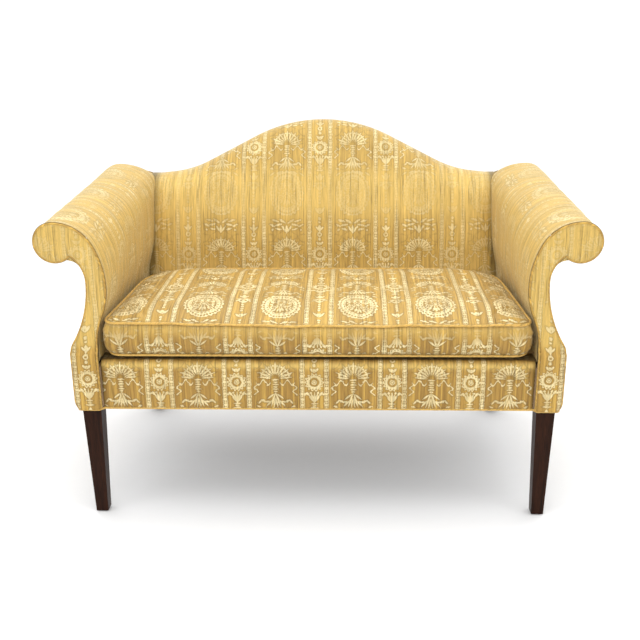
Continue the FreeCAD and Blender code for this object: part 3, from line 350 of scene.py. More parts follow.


# Reads the cloth coordinates of a cover stretched over the frame; nothing more is done with them
def stretched(obj, *rests_on):
    mesh = obj.data
    places = np.zeros(len(mesh.loops) * 2, dtype=np.float32)
    mesh.uv_layers["UVMap"].data.foreach_get("uv", places)


# Moves a grid of points along its own normals
def pushed(points, amount, flip=False):
    du = np.gradient(points, axis=0)
    dv = np.gradient(points, axis=1)
    normal = np.cross(dv, du)
    normal /= np.maximum(np.linalg.norm(normal, axis=2, keepdims=True), 1e-9)
    if flip:
        normal = -normal
    return points + normal * amount[..., None]


# Sewn cord: a slightly uneven tube along points
def cord(name, path, body, cloth, closed=True, normal=(0.0, 0.0, 1.0)):
    ways = unit_ways(path, closed)
    side = np.cross(ways, normal)
    side /= np.linalg.norm(side, axis=1, keepdims=True)
    lift = np.cross(side, ways)
    along = lengths_along(path)
    radii = WELT * (1 + CORD_UNEVEN * ripples(along, along, CORD_TWIST, 1.0))
    turns = np.linspace(0, 2 * math.pi, CORD_SIDES, endpoint=False)
    points = np.vstack([path[i] + radii[i] * (np.cos(turns)[:, None] * side[i]
                                              + np.sin(turns)[:, None] * lift[i])
                        for i in range(len(path))])
    count, sides = len(path), CORD_SIDES
    faces, corner_uvs = [], []
    around = 2 * math.pi * WELT
    for i in range(count if closed else count - 1):
        following = (i + 1) % count
        length = along[following] if following else along[i] + np.diff(along).mean()
        for j in range(sides):
            k = (j + 1) % sides
            faces.append([i * sides + j, i * sides + k, following * sides + k,
                          following * sides + j])
            low, high = around * j / sides, around * (j + 1) / sides
            corner_uvs += [(low, along[i]), (high, along[i]), (high, length), (low, length)]
    if not closed:
        for ring in (list(range(sides))[::-1], list(range((count - 1) * sides, count * sides))):
            faces.append(ring)
            corner_uvs += [(0, 0)] * sides
    mesh = finish_mesh(name, points, faces, corner_uvs)
    return add_object(name, mesh, body, cloth)


# Shader networks

class Shade:
    """Adds nodes to one material and joins them."""

    def __init__(self, name):
        self.material = bpy.data.materials.new(name)
        self.material.use_nodes = True
        self.tree = self.material.node_tree
        self.tree.nodes.clear()

    # Inputs go by name or number, each a value or another node's output
    def node(self, kind, inputs=(), **settings):
        made = self.tree.nodes.new("ShaderNode" + kind)
        for key, value in settings.items():
            setattr(made, key, value)
        for key, value in dict(inputs).items():
            self.feed(made.inputs[key], value)
        return made

    def feed(self, socket, value):
        if isinstance(value, bpy.types.NodeSocket):
            self.tree.links.new(value, socket)
        else:
            socket.default_value = value

    def math(self, operation, *values):
        return self.node("Math", enumerate(values), operation=operation).outputs[0]

    def minus(self, first, second):
        return self.math("SUBTRACT", first, second)

    def times(self, first, second):
        return self.math("MULTIPLY", first, second)

    def times_plus(self, first, second, third):
        return self.math("MULTIPLY_ADD", first, second, third)

    # Distance from a middle value, less a half width
    def band(self, value, middle, half_width):
        return self.minus(self.math("ABSOLUTE", self.minus(value, middle)), half_width)

    def mix(self, share, first, second):
        made = self.node("Mix", data_type="RGBA")
        for key, value in (("Factor", share), ("A", first), ("B", second)):
            self.feed(next(s for s in made.inputs if s.name == key and s.enabled), value)
        return next(s for s in made.outputs if s.enabled)

    def noise(self, vector, scale, detail=2.0, roughness=0.5):
        made = self.node("TexNoise", {"Vector": vector, "Scale": scale, "Detail": detail,
                                      "Roughness": roughness})
        return made.outputs["Fac"]

    # Noise drawn out along one way
    def grain(self, vector, scale, detail=2.0, roughness=0.5):
        drawn = self.node("Mapping", {"Vector": vector, "Scale": scale}).outputs[0]
        return self.noise(drawn, 1.0, detail, roughness)

    def span(self, value, low, high, out_low=0.0, out_high=1.0):
        return self.node("MapRange", {"Value": value, "From Min": low, "From Max": high,
                                      "To Min": out_low, "To Max": out_high}).outputs[0]

    def attribute(self, name):
        return self.node("Attribute", attribute_name=name).outputs["Fac"]

    def scaled(self, colour, factor):
        return self.node("VectorMath", {0: colour, "Scale": factor}, operation="SCALE").outputs[0]

    def bump(self, height, strength, distance):
        return self.node("Bump", {"Strength": strength, "Distance": distance,
                                  "Height": height}).outputs[0]

    def finish(self, inputs):
        surface = self.node("BsdfPrincipled", inputs)
        self.node("OutputMaterial", {"Surface": surface.outputs[0]})
        return self.material


# The woven figure as distance fields, in millimetres, mirrored about both kinds of column

# From the middle of a rosette column to the middle of a wreath column
HALF = 500 * REPEAT_ACROSS
FIGURE_LOW = -192.0
WREATH_LEVEL = -132.0
WREATH_SQUEEZE = 0.76
BEAD_X = 29.0
BEAD_PITCH = 15.0


class Figure:
    """Union of shapes, built one at a time so that few values are alive together."""

    def __init__(self, shade, across, along):
        self.shade = shade
        self.across = across
        self.along = along
        self.place = shade.node("CombineXYZ", {0: across, 1: along}).outputs[0]
        self.field = None
        self.wide = False

    # Places across count from the middle of the column that is being drawn
    def at(self, x):
        return HALF - x if self.wide else x

    def add(self, distance):
        if self.field is not None:
            distance = self.shade.math("MINIMUM", self.field, distance)
        self.field = distance

    def cut(self, distance):
        self.field = self.shade.math("MAXIMUM", self.field, self.shade.times(distance, -1.0))

    def reach(self, x, y):
        made = self.shade.node("VectorMath", {0: self.place, 1: (x, y, 0)}, operation="DISTANCE")
        return made.outputs["Value"]

    def dot(self, x, y, radius):
        self.add(self.shade.minus(self.reach(self.at(x), y), radius))

    def ring(self, x, y, radius, half_width):
        self.add(self.shade.band(self.reach(self.at(x), y), radius, half_width))

    def lens(self, start, end, half_width):
        dx, dy = end[0] - start[0], end[1] - start[1]
        length = math.hypot(dx, dy)
        radius = (length ** 2 / 4 + half_width ** 2) / (2 * half_width)
        out = (radius - half_width) / length
        middle = ((start[0] + end[0]) / 2, (start[1] + end[1]) / 2)
        one = self.reach(middle[0] - dy * out, middle[1] + dx * out)
        two = self.reach(middle[0] + dy * out, middle[1] - dx * out)
        return self.shade.minus(self.shade.math("MAXIMUM", one, two), radius)

    # Pointed leaves, each from one place to another
    def leaves(self, *rows):
        for x_start, y_start, x_end, y_end, half_width in rows:
            self.add(self.lens((self.at(x_start), y_start), (self.at(x_end), y_end), half_width))

    # A leaf with one side hollowed
    def crescent(self, x_start, y_start, x_end, y_end, half_width, hollow):
        start, end = (self.at(x_start), y_start), (self.at(x_end), y_end)
        dx, dy = end[0] - start[0], end[1] - start[1]
        length = math.hypot(dx, dy)
        middle = ((start[0] + end[0]) / 2 - dy / length * hollow,
                  (start[1] + end[1]) / 2 + dx / length * hollow)
        outer = self.lens(start, end, half_width)
        radius = math.dist(middle, start)
        hole = self.shade.minus(radius - half_width * 0.1, self.reach(*middle))
        self.add(self.shade.math("MAXIMUM", outer, hole))

    # Outline of a flower: a waved circle about a place
    def petals(self, x, y, radius, swing, number, half_width):
        turn = self.shade.math("ARCTAN2", self.shade.minus(self.along, y),
                               self.shade.minus(self.across, self.at(x)))
        wave = self.shade.math("COSINE", self.shade.times(turn, float(number)))
        edge = self.shade.times_plus(wave, swing, radius)
        return self.shade.band(self.reach(self.at(x), y), edge, half_width)

    # Beads along a stripe
    def beads(self, x, pitch, radius, offset=0.0):
        y = self.shade.math("WRAP", self.shade.math("ADD", self.along, offset),
                            pitch / 2, -pitch / 2)
        dx = self.shade.minus(self.across, x)
        squared = self.shade.times_plus(y, y, self.shade.times(dx, dx))
        self.add(self.shade.minus(self.shade.math("SQRT", squared), radius))

    # A thin stripe all the way along
    def stripe(self, x, half_width):
        self.add(self.shade.band(self.across, x, half_width))

    # A wavy ribbon: along one coordinate, swinging in the other, between two ends
    def ribbon(self, run, sway, level, swing, length, ends, half_width):
        wave = self.shade.math("SINE", self.shade.times(run, 2 * math.pi / length))
        gap = self.shade.band(sway, self.shade.times_plus(wave, swing, level), half_width)
        limit = self.shade.band(run, (ends[0] + ends[1]) / 2, (ends[1] - ends[0]) / 2)
        self.add(self.shade.math("MAXIMUM", gap, limit))


# Rosette, tulip spray and pendants of the narrow column
def rosette_column(fig):
    fig.ring(0, 0, 14.5, 2.8)
    fig.add(fig.petals(0, 0, 19.5, 2.2, 14, 1.9))
    fig.dot(0, 0, 6.6)
    fig.cut(fig.petals(0, 0, 3.4, 0.6, 5, 0.7))
    fig.leaves((0, -24, 0, -60, 2.4), (1, -52, 13, -32, 3.0), (12, -35, 19, -25, 3.0),
               (17, -27, 26, -34, 2.3), (1, -46, 8, -29, 2.3), (-9, -56, 9, -56, 2.4),
               (-6, -62, 6, -62, 2.4), (-11, -68, 11, -68, 2.4), (0, 25, 10, 35, 2.9),
               (0, 61, 0, 84, 4.4), (0, 66, 11, 77, 2.7), (0, -74, 0, -98, 5.0),
               (0, -97, 12, -82, 3.0), (-19, -104, 19, -104, 3.0), (4, -106, 20, -114, 2.4),
               (0, -108, 0, -126, 4.0), (0, -123, 11, -112, 2.6), (0, -188, 14, -170, 3.4))
    fig.ring(0, 55, 4.6, 1.9)
    fig.dot(8.5, -27.5, 2.8)
    for level, radius in ((31, 3.2), (42, 4.0), (89, 3.0), (98, 4.0), (-131, 3.6), (-140, 3.6),
                          (-149, 3.6), (-158, 3.6), (-176, 5.0)):
        fig.dot(0, level, radius)


def beaded_stripes(fig):
    fig.beads(BEAD_X, BEAD_PITCH, 4.0)
    fig.beads(BEAD_X, BEAD_PITCH, 2.6, BEAD_PITCH / 2)
    fig.stripe(BEAD_X - 4.4, 0.8)
    fig.stripe(BEAD_X + 4.4, 0.8)


# Crest, ribbons and lotus plume of the wide column
def fan_column(fig):
    fig.wide = True
    fig.leaves((0, -26, 12, -66, 2.4), (0, -40, 5, -68, 2.0), (3, -30, 20, -44, 2.2),
               (8, -46, 23, -64, 2.4), (10, -50, 30, -52, 2.2), (4, -54, 12, -50, 1.6),
               (24, -50, 36, -46, 2.6), (34, -47, 41, -56, 2.2), (36, -66, 47, -62, 2.2),
               (-5, -24, 5, -24, 2.0), (-8, -18, 8, -18, 2.0), (-6, -12, 6, -12, 2.0),
               (-8, -6, 8, -6, 2.0), (-6, 0, 6, 0, 2.0), (-9, 6, 9, 6, 2.0))
    away = fig.shade.minus(HALF, fig.across)
    fig.ribbon(away, fig.along, -1.0, 6.5, 23.0, (12.0, 46.0), 2.1)
    fig.ribbon(fig.along, away, 46.5, 4.6, 19.0, (-34.0, -4.0), 1.9)
    root, foot = 10, 9
    for turn, length, half_width in ((6, 40, 2.2), (22, 46, 2.4), (39, 43, 2.3), (56, 44, 2.4),
                                     (73, 42, 2.2), (90, 46, 2.5)):
        cosine, sine = math.cos(math.radians(turn)), math.sin(math.radians(turn))
        fig.leaves((root * cosine, foot + root * sine,
                    length * cosine, foot + length * 0.92 * sine, half_width))
    for turn in (14, 30, 47, 64, 81):
        heading = math.radians(turn)
        fig.dot(34 * math.cos(heading), foot + 32 * math.sin(heading), 2.3)
    for row in ((22, -67, 44, -52, 4.6, -9), (47, 56, 14, 64, 3.6, 13), (48, 34, 32, 50, 3.0, 9)):
        fig.crescent(*row)
    fig.dot(40, 68, 3.0)
    fig.leaves((0, 58, 0, 82, 3.4), (2, 62, 14, 80, 2.8), (14, 68, 32, 72, 2.8),
               (32, 76, 48, 84, 2.6), (12, 84, 34, 80, 2.8), (2, 86, 22, 98, 3.0),
               (20, 90, 42, 96, 2.8), (0, -70, 8, -78, 2.6), (14, -72, 30, -78, 2.6),
               (34, -74, 48, -84, 2.4))


# Oval wreath with flowers
def wreath(fig):
    shade = fig.shade
    away = shade.minus(HALF, fig.across)
    rise = shade.times(shade.minus(fig.along, WREATH_LEVEL), WREATH_SQUEEZE)
    reach = shade.math("SQRT", shade.times_plus(rise, rise, shade.times(away, away)))
    turn = shade.math("ARCTAN2", rise, away)

    def waves(number):
        return shade.math("COSINE", shade.times(turn, number))

    rim = shade.band(reach, shade.times_plus(waves(24.0), 1.8, 40.0), 7.0)
    slit = shade.math("ABSOLUTE", shade.minus(reach, 41.0))
    slit = shade.times_plus(waves(36.0), 1.3, shade.minus(1.3, slit))
    fig.add(shade.math("MAXIMUM", rim, slit))
    fig.add(shade.band(reach, 31.0, 1.2))
    bloom = shade.minus(reach, shade.times_plus(waves(10.0), 2.6, 9.5))
    veins = shade.minus(1.2, shade.math("ABSOLUTE", shade.minus(reach, 5.6)))
    fig.add(shade.math("MAXIMUM", bloom, veins))
    for x, level, radius in ((14, -112, 7.0), (17, -144, 6.6), (0, -104, 6.0)):
        fig.add(fig.petals(x, level, radius, 1.4, 6, 1.7))
        fig.dot(x, level, 1.6)
    fig.leaves((5, -119, 11, -104, 2.6), (17, -126, 26, -114, 2.6), (18, -134, 27, -128, 2.4),
               (10, -152, 20, -160, 2.6), (2, -147, 8, -164, 2.8), (0, -150, 0, -168, 2.6),
               (21, -150, 26, -156, 2.0))


SILK_GROUND = (0.330, 0.185, 0.042, 1)
SILK_STRIPE = (0.400, 0.230, 0.050, 1)
SILK_GOLD = (0.660, 0.415, 0.090, 1)
SILK_FIGURE = (0.950, 0.820, 0.470, 1)
# Paler gold for painted sheen, mixed in by the point value pale
SHEEN_PAINT_GOLD = (0.660, 0.455, 0.132, 1)
WELT_GOLD = (0.60, 0.37, 0.10, 1)
# Darker copy of the welt gold for the facing cords: painted shade along the facing's edge
SHADED_FACING_GOLD = (0.42, 0.25, 0.06, 1)
RIB_MM = 1.1
PICK_MM = 1.4


# Woven silk with uneven lengthwise yarns and a pale figure. Cut on the bias it is plain.
def silk(name, ground=SILK_GROUND, stripe=SILK_STRIPE, bias=0.0):
    shade = Shade(name)
    coords = shade.node("UVMap", uv_map="UVMap").outputs[0]
    if bias:
        coords = shade.node("Mapping", {"Vector": coords, "Rotation": (0, 0, bias)}).outputs[0]
    split = shade.node("SeparateXYZ", {"Vector": coords})
    across_mm, along_mm = [shade.times(split.outputs[axis], 1000.0) for axis in (0, 1)]

    yarns = shade.grain(coords, (620, 22, 1), 3.0, 0.65)
    bands = shade.grain(coords, (150, 3.0, 1))
    slubs = shade.grain(coords, (260, 1500, 1), 1.0)
    folded = shade.math("ABSOLUTE", shade.math("WRAP", across_mm, HALF, -HALF))
    column = shade.minus(1.0, shade.span(folded, 22.0, 38.0))
    base = shade.mix(column, ground, stripe)
    gilt = shade.span(shade.grain(coords, (95, 1.6, 1), 2.0, 0.6), 0.48, 0.66, 0.0, 0.75)
    base = shade.mix(gilt, base, SILK_GOLD)
    # Point value pale mixes in the paler gold: painted sheen
    base = shade.mix(shade.attribute("pale"), base, SHEEN_PAINT_GOLD)
    thin = shade.span(shade.grain(coords, (280, 8.0, 1), 2.0, 0.7), 0.52, 0.68, 0.0, -1.0)
    light = shade.math("ADD", shade.span(yarns, 0.30, 0.70, -0.5, 0.5),
                       shade.span(bands, 0.3, 0.7, -0.35, 0.35))
    light = shade.math("ADD", light, thin)

    mask = None
    if not bias:
        nudge = shade.span(shade.noise(coords, 190.0), 0.25, 0.75, -1.5, 1.5)
        along = shade.math("WRAP", along_mm, FIGURE_LOW + 1000 * REPEAT_ALONG, FIGURE_LOW)
        fig = Figure(shade, shade.math("ADD", folded, nudge), shade.math("ADD", along, nudge))
        rosette_column(fig)
        beaded_stripes(fig)
        fan_column(fig)
        wreath(fig)
        # Point value figure also weakens the figure where painted sheen washes it out
        shown = shade.attribute("figure")
        rubbed = shade.span(shade.noise(coords, 22.0, 3.0), 0.35, 0.65, 0.62, 1.0)
        patchy = shade.times(shade.span(slubs, 0.25, 0.75, 0.66, 1.0), rubbed)
        mask = shade.times(shade.times(shade.span(fig.field, 0.75, -0.75), shown), patchy)
        # A dark rim painted round the figure: painted shade at the edge of the raised figure
        figure_edge_shade = shade.times(shade.span(fig.field, 3.4, 0.8), shown)
        figure_edge_shade = shade.minus(1.0, shade.times(figure_edge_shade, 0.36))
        base = shade.mix(mask, shade.scaled(base, figure_edge_shade), SILK_FIGURE)

    yarn_streaks_and_seam_shade = shade.times_plus(light, 0.40, 1.04)
    # Point value seam darkens the colour: painted shade
    yarn_streaks_and_seam_shade = shade.times(yarn_streaks_and_seam_shade, shade.times_plus(shade.attribute("seam"), -0.72, 1.0))
    yarn_streaks_and_seam_shade = shade.times(yarn_streaks_and_seam_shade, shade.span(slubs, 0.2, 0.8, 0.94, 1.06))
    coloured = shade.scaled(base, yarn_streaks_and_seam_shade)

    ribs = shade.math("SINE", shade.times(across_mm, 2 * math.pi / RIB_MM))
    picks = shade.math("SINE", shade.times(along_mm, 2 * math.pi / PICK_MM))
    height = shade.times_plus(ribs, 0.10, shade.times(picks, 0.06))
    height = shade.times_plus(yarns, 0.8, height)
    height = shade.times_plus(bands, 0.35, height)
    rough = shade.span(yarns, 0.3, 0.7, 0.40, 0.52)
    if mask is not None:
        height = shade.times_plus(mask, 0.55, height)
        rough = shade.times_plus(mask, 0.10, rough)
    return shade.finish({
        "Base Color": coloured, "Roughness": rough, "Normal": shade.bump(height, 0.55, 0.0007),
        "Sheen Weight": 0.35, "Sheen Roughness": 0.35, "Sheen Tint": (1.0, 0.86, 0.52, 1),
        "Specular IOR Level": 0.55, "Specular Tint": (1.0, 0.84, 0.50, 1)})


# Dark polished mahogany, grain along the leg
def mahogany():
    shade = Shade("mahogany")
    place = shade.node("TexCoord").outputs["Object"]
    grain = shade.grain(place, (140, 140, 7), 5.0, 0.6)
    pores = shade.grain(place, (900, 900, 30))
    tone = shade.times_plus(shade.span(grain, 0.3, 0.7), 0.65,
                            shade.times(shade.noise(place, 9.0), 0.35))
    colour = shade.mix(tone, (0.009, 0.0028, 0.0012, 1), (0.044, 0.0135, 0.0050, 1))
    return shade.finish({
        "Base Color": shade.scaled(colour, shade.span(pores, 0.36, 0.5, 0.55, 1.0)),
        "Roughness": shade.span(grain, 0.3, 0.7, 0.32, 0.46),
        "Normal": shade.bump(pores, 0.25, 0.0003),
        "Coat Weight": 0.04, "Coat Roughness": 0.30, "Specular IOR Level": 0.08})


def beech():
    shade = Shade("beech")
    place = shade.node("TexCoord").outputs["Object"]
    grain = shade.grain(place, (12, 120, 120), 4.0, 0.6)
    flecks = shade.grain(place, (160, 700, 700), 1.0)
    tone = shade.times_plus(flecks, 0.35, shade.times(grain, 0.65))
    return shade.finish({
        "Base Color": shade.mix(tone, (0.36, 0.20, 0.10, 1), (0.62, 0.43, 0.26, 1)),
        "Roughness": 0.62, "Normal": shade.bump(grain, 0.2, 0.0004)})


# Metal with fine scratches
def metal(name, colour, roughness):
    shade = Shade(name)
    scratches = shade.grain(shade.node("TexCoord").outputs["Object"], (900, 900, 90), 3.0)
    tint = shade.mix(scratches, tuple(c * 0.75 for c in colour) + (1,), colour + (1,))
    rough = shade.span(scratches, 0.3, 0.7, roughness - 0.08, roughness + 0.10)
    return shade.finish({"Metallic": 1.0, "Base Color": tint, "Roughness": rough,
                         "Normal": shade.bump(scratches, 0.15, 0.0002)})


# Plain woven cloth, from its own coordinates
def plain_cloth(name, dark, pale, pitch_mm):
    shade = Shade(name)
    coords = shade.node("UVMap", uv_map="UVMap").outputs[0]
    split = shade.node("SeparateXYZ", {"Vector": coords})
    turns = 2 * math.pi * 1000 / pitch_mm
    warp, weft = [shade.math("SINE", shade.times(split.outputs[axis], turns)) for axis in (0, 1)]
    tone = shade.times_plus(shade.times(warp, weft), 0.22, shade.grain(coords, (90, 900, 1)))
    return shade.finish({"Base Color": shade.mix(tone, dark, pale), "Roughness": 0.85,
                         "Normal": shade.bump(tone, 0.5, 0.0005), "Sheen Weight": 0.15})


BIAS = math.radians(45)
DAMASK = silk("damask")
WELT_SILK = silk("welt_silk", WELT_GOLD, WELT_GOLD, BIAS)
DECK_CLOTH = plain_cloth("deck_cloth", (0.36, 0.22, 0.06, 1), (0.58, 0.40, 0.14, 1), 1.2)
CAMBRIC = plain_cloth("cambric", (0.008, 0.008, 0.008, 1), (0.045, 0.043, 0.040, 1), 0.9)
SHADED_FACING_SILK = silk("shaded_facing_silk", SHADED_FACING_GOLD, SHADED_FACING_GOLD, BIAS)
MAHOGANY = mahogany()
BEECH = beech()
NICKEL = metal("nickel", (0.62, 0.60, 0.56), 0.32)
ZINC = metal("zinc", (0.55, 0.56, 0.58), 0.40)
BRASS = metal("brass", (0.70, 0.47, 0.16), 0.34)


# Arms

SHEET_COLUMNS = 110
FIRST_SHARES = [0, 0.004, 0.010]
END_GAP = 0.004
INSIDE_BOTTOM = 0.418
MEASURED_AT = 0.3
REAR_GUESS = 0.65
ROUNDS = 6
SETTLE_DROP = 0.043
SETTLE_DEPTH, SETTLE_RUN = 0.550, 0.120
SETTLE_Z, SETTLE_RISE = 0.64, 0.11
SETTLE_X, SETTLE_WIDTH = 0.452, 0.020
ARM_PUFF, ARM_SEAT_PUFF = 0.0022, 0.0060
ARM_CREASE, ARM_PULL, ARM_SOFT = 0.0016, 0.0006, 0.0010
FACING_PUFF = (0.0045, 0.0012)
FACING_MIDDLE = 0.545
FACING_PATTERN_DROP = 0.012


def blended(outline, bottom):
    front, rear = [outline(arm, bottom) for arm in (ARM_FRONT, ARM_REAR)]

    def section(depth):
        return front + (rear - front) * depth / ARM_LENGTH

    return section


# Where the raked plane of the back, less a gap, cuts each line of an arm
def cut_by_back(section, gap):
    depths = np.full(len(section(0)), REAR_GUESS)
    for _ in range(ROUNDS):
        cut = np.array([section(depth)[j] for j, depth in enumerate(depths)])
        depths = back_plane(cut[:, 1]) - gap
    return depths, cut


# How far the facing's front stands forward of the panel above its block
def block_stand(z):
    ledge = 1 - smooth((z - HIP_Z + 0.003) / 0.006)
    slope = 1 - np.clip((z - HIP_Z) / 0.06, 0, 1)
    return BLOCK_PROUD * (0.55 * ledge + 0.45 * slope)


# The rear end of each arm eases down where the back's cover is drawn over it
def settled(points):
    x, depth, z = points[..., 0], points[..., 1] - FRONT, points[..., 2]
    share = smooth((depth - SETTLE_DEPTH) / SETTLE_RUN) * smooth((z - SETTLE_Z) / SETTLE_RISE)
    share = share * smooth((np.abs(x) - SETTLE_X) / SETTLE_WIDTH)
    moved = points.copy()
    moved[..., 2] = z - SETTLE_DROP * share
    return moved


# A side of an arm as a grid: rows along the outline, columns from the facing to the back
def arm_grid(sign, outline, bottom):
    section = blended(outline, bottom)
    ends, _ = cut_by_back(section, END_GAP)
    start = WELT - 0.5 * block_stand(section(0)[:, 1])
    share = np.concatenate([FIRST_SHARES, np.linspace(0.018, 1, SHEET_COLUMNS)])
    points = np.zeros((len(ends), len(share), 3))
    for k, s in enumerate(share):
        for j, depth in enumerate(start + (ends - start) * s):
            x, z = section(depth)[j]
            points[j, k] = (sign * x, row_y(depth), z)
    along = lengths_along(section(MEASURED_AT))
    return points, np.repeat(along[:, None], len(share), axis=1), points[..., 1] - FRONT


def inside_arm(side, sign):
    points, run, depth = arm_grid(sign, inner_outline, INSIDE_BOTTOM)
    edge = smooth(depth / 0.022)
    fullness = ARM_PUFF * edge - ARM_CREASE * (1 - smooth(depth / 0.007))
    pull = ripples(depth, run, 0.085, 1.3) * ARM_PULL * edge
    soft = ripples(depth, run, 0.30, 0.25) * ARM_SOFT * edge
    seat = ARM_SEAT_PUFF * bell(run, 0.10, 0.06) * smooth((depth - 0.05) / 0.20)
    points = settled(pushed(points, fullness + pull + soft + seat, flip=sign < 0))
    roll_start = run[-1, 0] - math.radians(90 - ARM_FRONT["notch"]) * ROLL_RADIUS
    # Faint figure in random patches, washed out by painted sheen; paleness is painted sheen, less low
    # down by the seat, where the arm is painted in shade
    patches = smooth(ripples(depth, run, 0.22, 0.16) * 0.9 + 0.35)
    figure_through_sheen = 0.22 + 0.36 * patches + 0.12 * bell(run, roll_start, 0.10)
    low = smooth((0.22 - run) / 0.14)
    # Point value seam: painted shade along the facing's edge and in the crease against the back
    seam = np.maximum(0.9 * near(np.maximum(depth, 0), 0.003),
                      0.5 * bell(depth - face_depth(points[..., 2]), -0.002, 0.004))
    obj = cover("inside_arm_cover_" + side, points, ROSETTE_X + 0.02 + depth,
                run - roll_start + 0.15, np.clip(figure_through_sheen + 0.15 * low, 0, 1), flip=sign < 0,
                pale=0.72 - 0.22 * low, seam=seam)
    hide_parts("inside_arm_" + side)


def outside_arm(side, sign):
    points, run, depth = arm_grid(sign, outer_outline, HEM)
    amount = (ripples(depth, run, 0.25, 0.20) * 0.0005 + 0.0004) * smooth(depth / 0.02)
    points = settled(pushed(points, amount, flip=sign < 0))
    obj = cover("outside_arm_cover_" + side, points, ROSETTE_X + depth,
                -run + run[-1, 0] + HEM - ROSETTE_Z, 0.75, flip=sign < 0)
    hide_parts("outside_arm_" + side)
    stretched(obj, "side_rail_" + side, "arm_post_" + side, "arm_top_rail_" + side)


# Distance of plane points from an outline
def to_outline(points, outline):
    flat = points.reshape(-1, 2)
    best = np.full(len(flat), np.inf)
    for p, q in zip(outline[:-1], outline[1:]):
        way = q - p
        share = np.clip(((flat - p) @ way) / max(way @ way, 1e-12), 0, 1)
        best = np.minimum(best, np.linalg.norm(flat - (p + share[:, None] * way), axis=1))
    return best.reshape(points.shape[:-1])


# The two halves of a line, each spaced evenly
def halved(line, middle):
    return np.vstack([resampled(line[:middle + 1], 70), resampled(line[middle:], 60)[1:]])


# Facing: a padded panel between the inner and outer outline, fuller on the block below
def arm_facing(side, sign):
    inner = inner_outline(ARM_FRONT, HEM)
    outer = outer_outline(ARM_FRONT, HEM)[::-1]
    neck = np.array(ARM_FRONT["neck"])
    left = halved(inner, np.argmin(np.abs(inner[:, 1] - neck[1]) + (inner[:, 0] > 0.52)))
    right = halved(outer, np.argmin(np.linalg.norm(outer - neck, axis=1)))
    share = 0.5 - 0.5 * np.cos(math.pi * np.linspace(0, 1, 22))
    flat = left[:, None, :] + (right - left)[:, None, :] * share[None, :, None]
    x, z = flat[..., 0], flat[..., 1]
    gap = to_outline(flat, np.vstack([inner, outer[::-1]]))
    fullness = FACING_PUFF[0] * (1 - near(gap, 0.006)) + FACING_PUFF[1] * (1 - near(gap, 0.02))
    fullness += ripples(x, z, 0.09, 0.11) * 0.0005 * smooth(gap / 0.01)
    depth = WELT - fullness - block_stand(z) * (0.5 + 0.5 * smooth(gap / 0.006))
    points = np.stack([sign * x, row_y(depth), z], axis=2)
    # Above its block the facing is painted paler as painted sheen, so the block reads as in shade; point
    # value seam is painted shade in the groove along the edge
    strength = 0.85 - 0.60 * smooth((z - 0.47) / 0.12)
    obj = cover("facing_cover_" + side, points, x - FACING_MIDDLE,
                z - ROSETTE_Z - FACING_PATTERN_DROP, strength,
                flip=sign > 0, pale=0.02 + 0.68 * smooth((z - HIP_Z) / 0.03),
                seam=0.9 * near(gap, 0.0028))
    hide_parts("arm_facing_" + side)


def offset_inward(points, distance):
    ways = unit_ways(points)
    return points + np.column_stack([ways[:, 1], -ways[:, 0]]) * distance


def facing_welts(side, sign):
    for part, outline in (("inner", inner_outline), ("outer", outer_outline)):
        line = offset_inward(resampled(outline(ARM_FRONT, HEM), 220), WELT)
        depth = WELT - 0.8 * block_stand(line[:, 1])
        path = np.column_stack([sign * line[:, 0], row_y(depth), line[:, 1]])
        obj = cord("facing_cord_%s_%s" % (part, side), path, "sofa", SHADED_FACING_SILK, closed=False,
                   normal=(0.0, 1.0, 0.0))
        if part == "inner":
            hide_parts("facing_welt_" + side)


# Back

BACK_TUCKS = np.array([0.010, 0.024])
BACK_COLUMNS = 170
SMOOTH_ROUNDS = 60
SMOOTH_FROM = 58
BACK_PUFF, BACK_CREASE, BACK_HOLLOW = 0.006, 0.003, 0.004
BACK_SWAY, BACK_PULL = 0.0016, 0.0005
BACK_PATTERN_START = 0.132
PANEL_RIM, PANEL_DIP = 0.006, 0.003


def face_depth(heights):
    share = (heights - FACE_LOW[1]) / (FACE_HIGH[1] - FACE_LOW[1])
    straight = FACE_LOW[0] + (FACE_HIGH[0] - FACE_LOW[0]) * share
    return straight - 4 * FACE_CROWN * np.clip(share * (1 - share), 0, 1)


# The crowned face of the inside back, from a low to a high edge
def face_at(low, edge, count):
    chord = math.dist(FACE_LOW, FACE_HIGH)
    radius = (chord / 2) ** 2 / (2 * FACE_CROWN) + FACE_CROWN / 2
    middle = ((FACE_LOW[0] + FACE_HIGH[0]) / 2, (FACE_LOW[1] + FACE_HIGH[1]) / 2)
    unit = ((FACE_HIGH[1] - FACE_LOW[1]) / chord, -(FACE_HIGH[0] - FACE_LOW[0]) / chord)
    centre = (middle[0] + unit[0] * (radius - FACE_CROWN),
              middle[1] + unit[1] * (radius - FACE_CROWN))
    heights = np.linspace(low, edge, count + 1)
    return np.column_stack([centre[0] - np.sqrt(radius ** 2 - (heights - centre[1]) ** 2),
                            heights])


def back_section(x):
    top = camel_height(x)
    rim = top - ROLL_PEAK
    heel = (back_plane(rim) - 0.002, rim)
    face = face_at(INSIDE_BOTTOM, top - ROLL_DROP, 72)
    peak = ((face[-1, 0] + heel[0]) / 2, top)
    return chain(face, arc_through(tuple(face[-1]), peak, heel, 26))


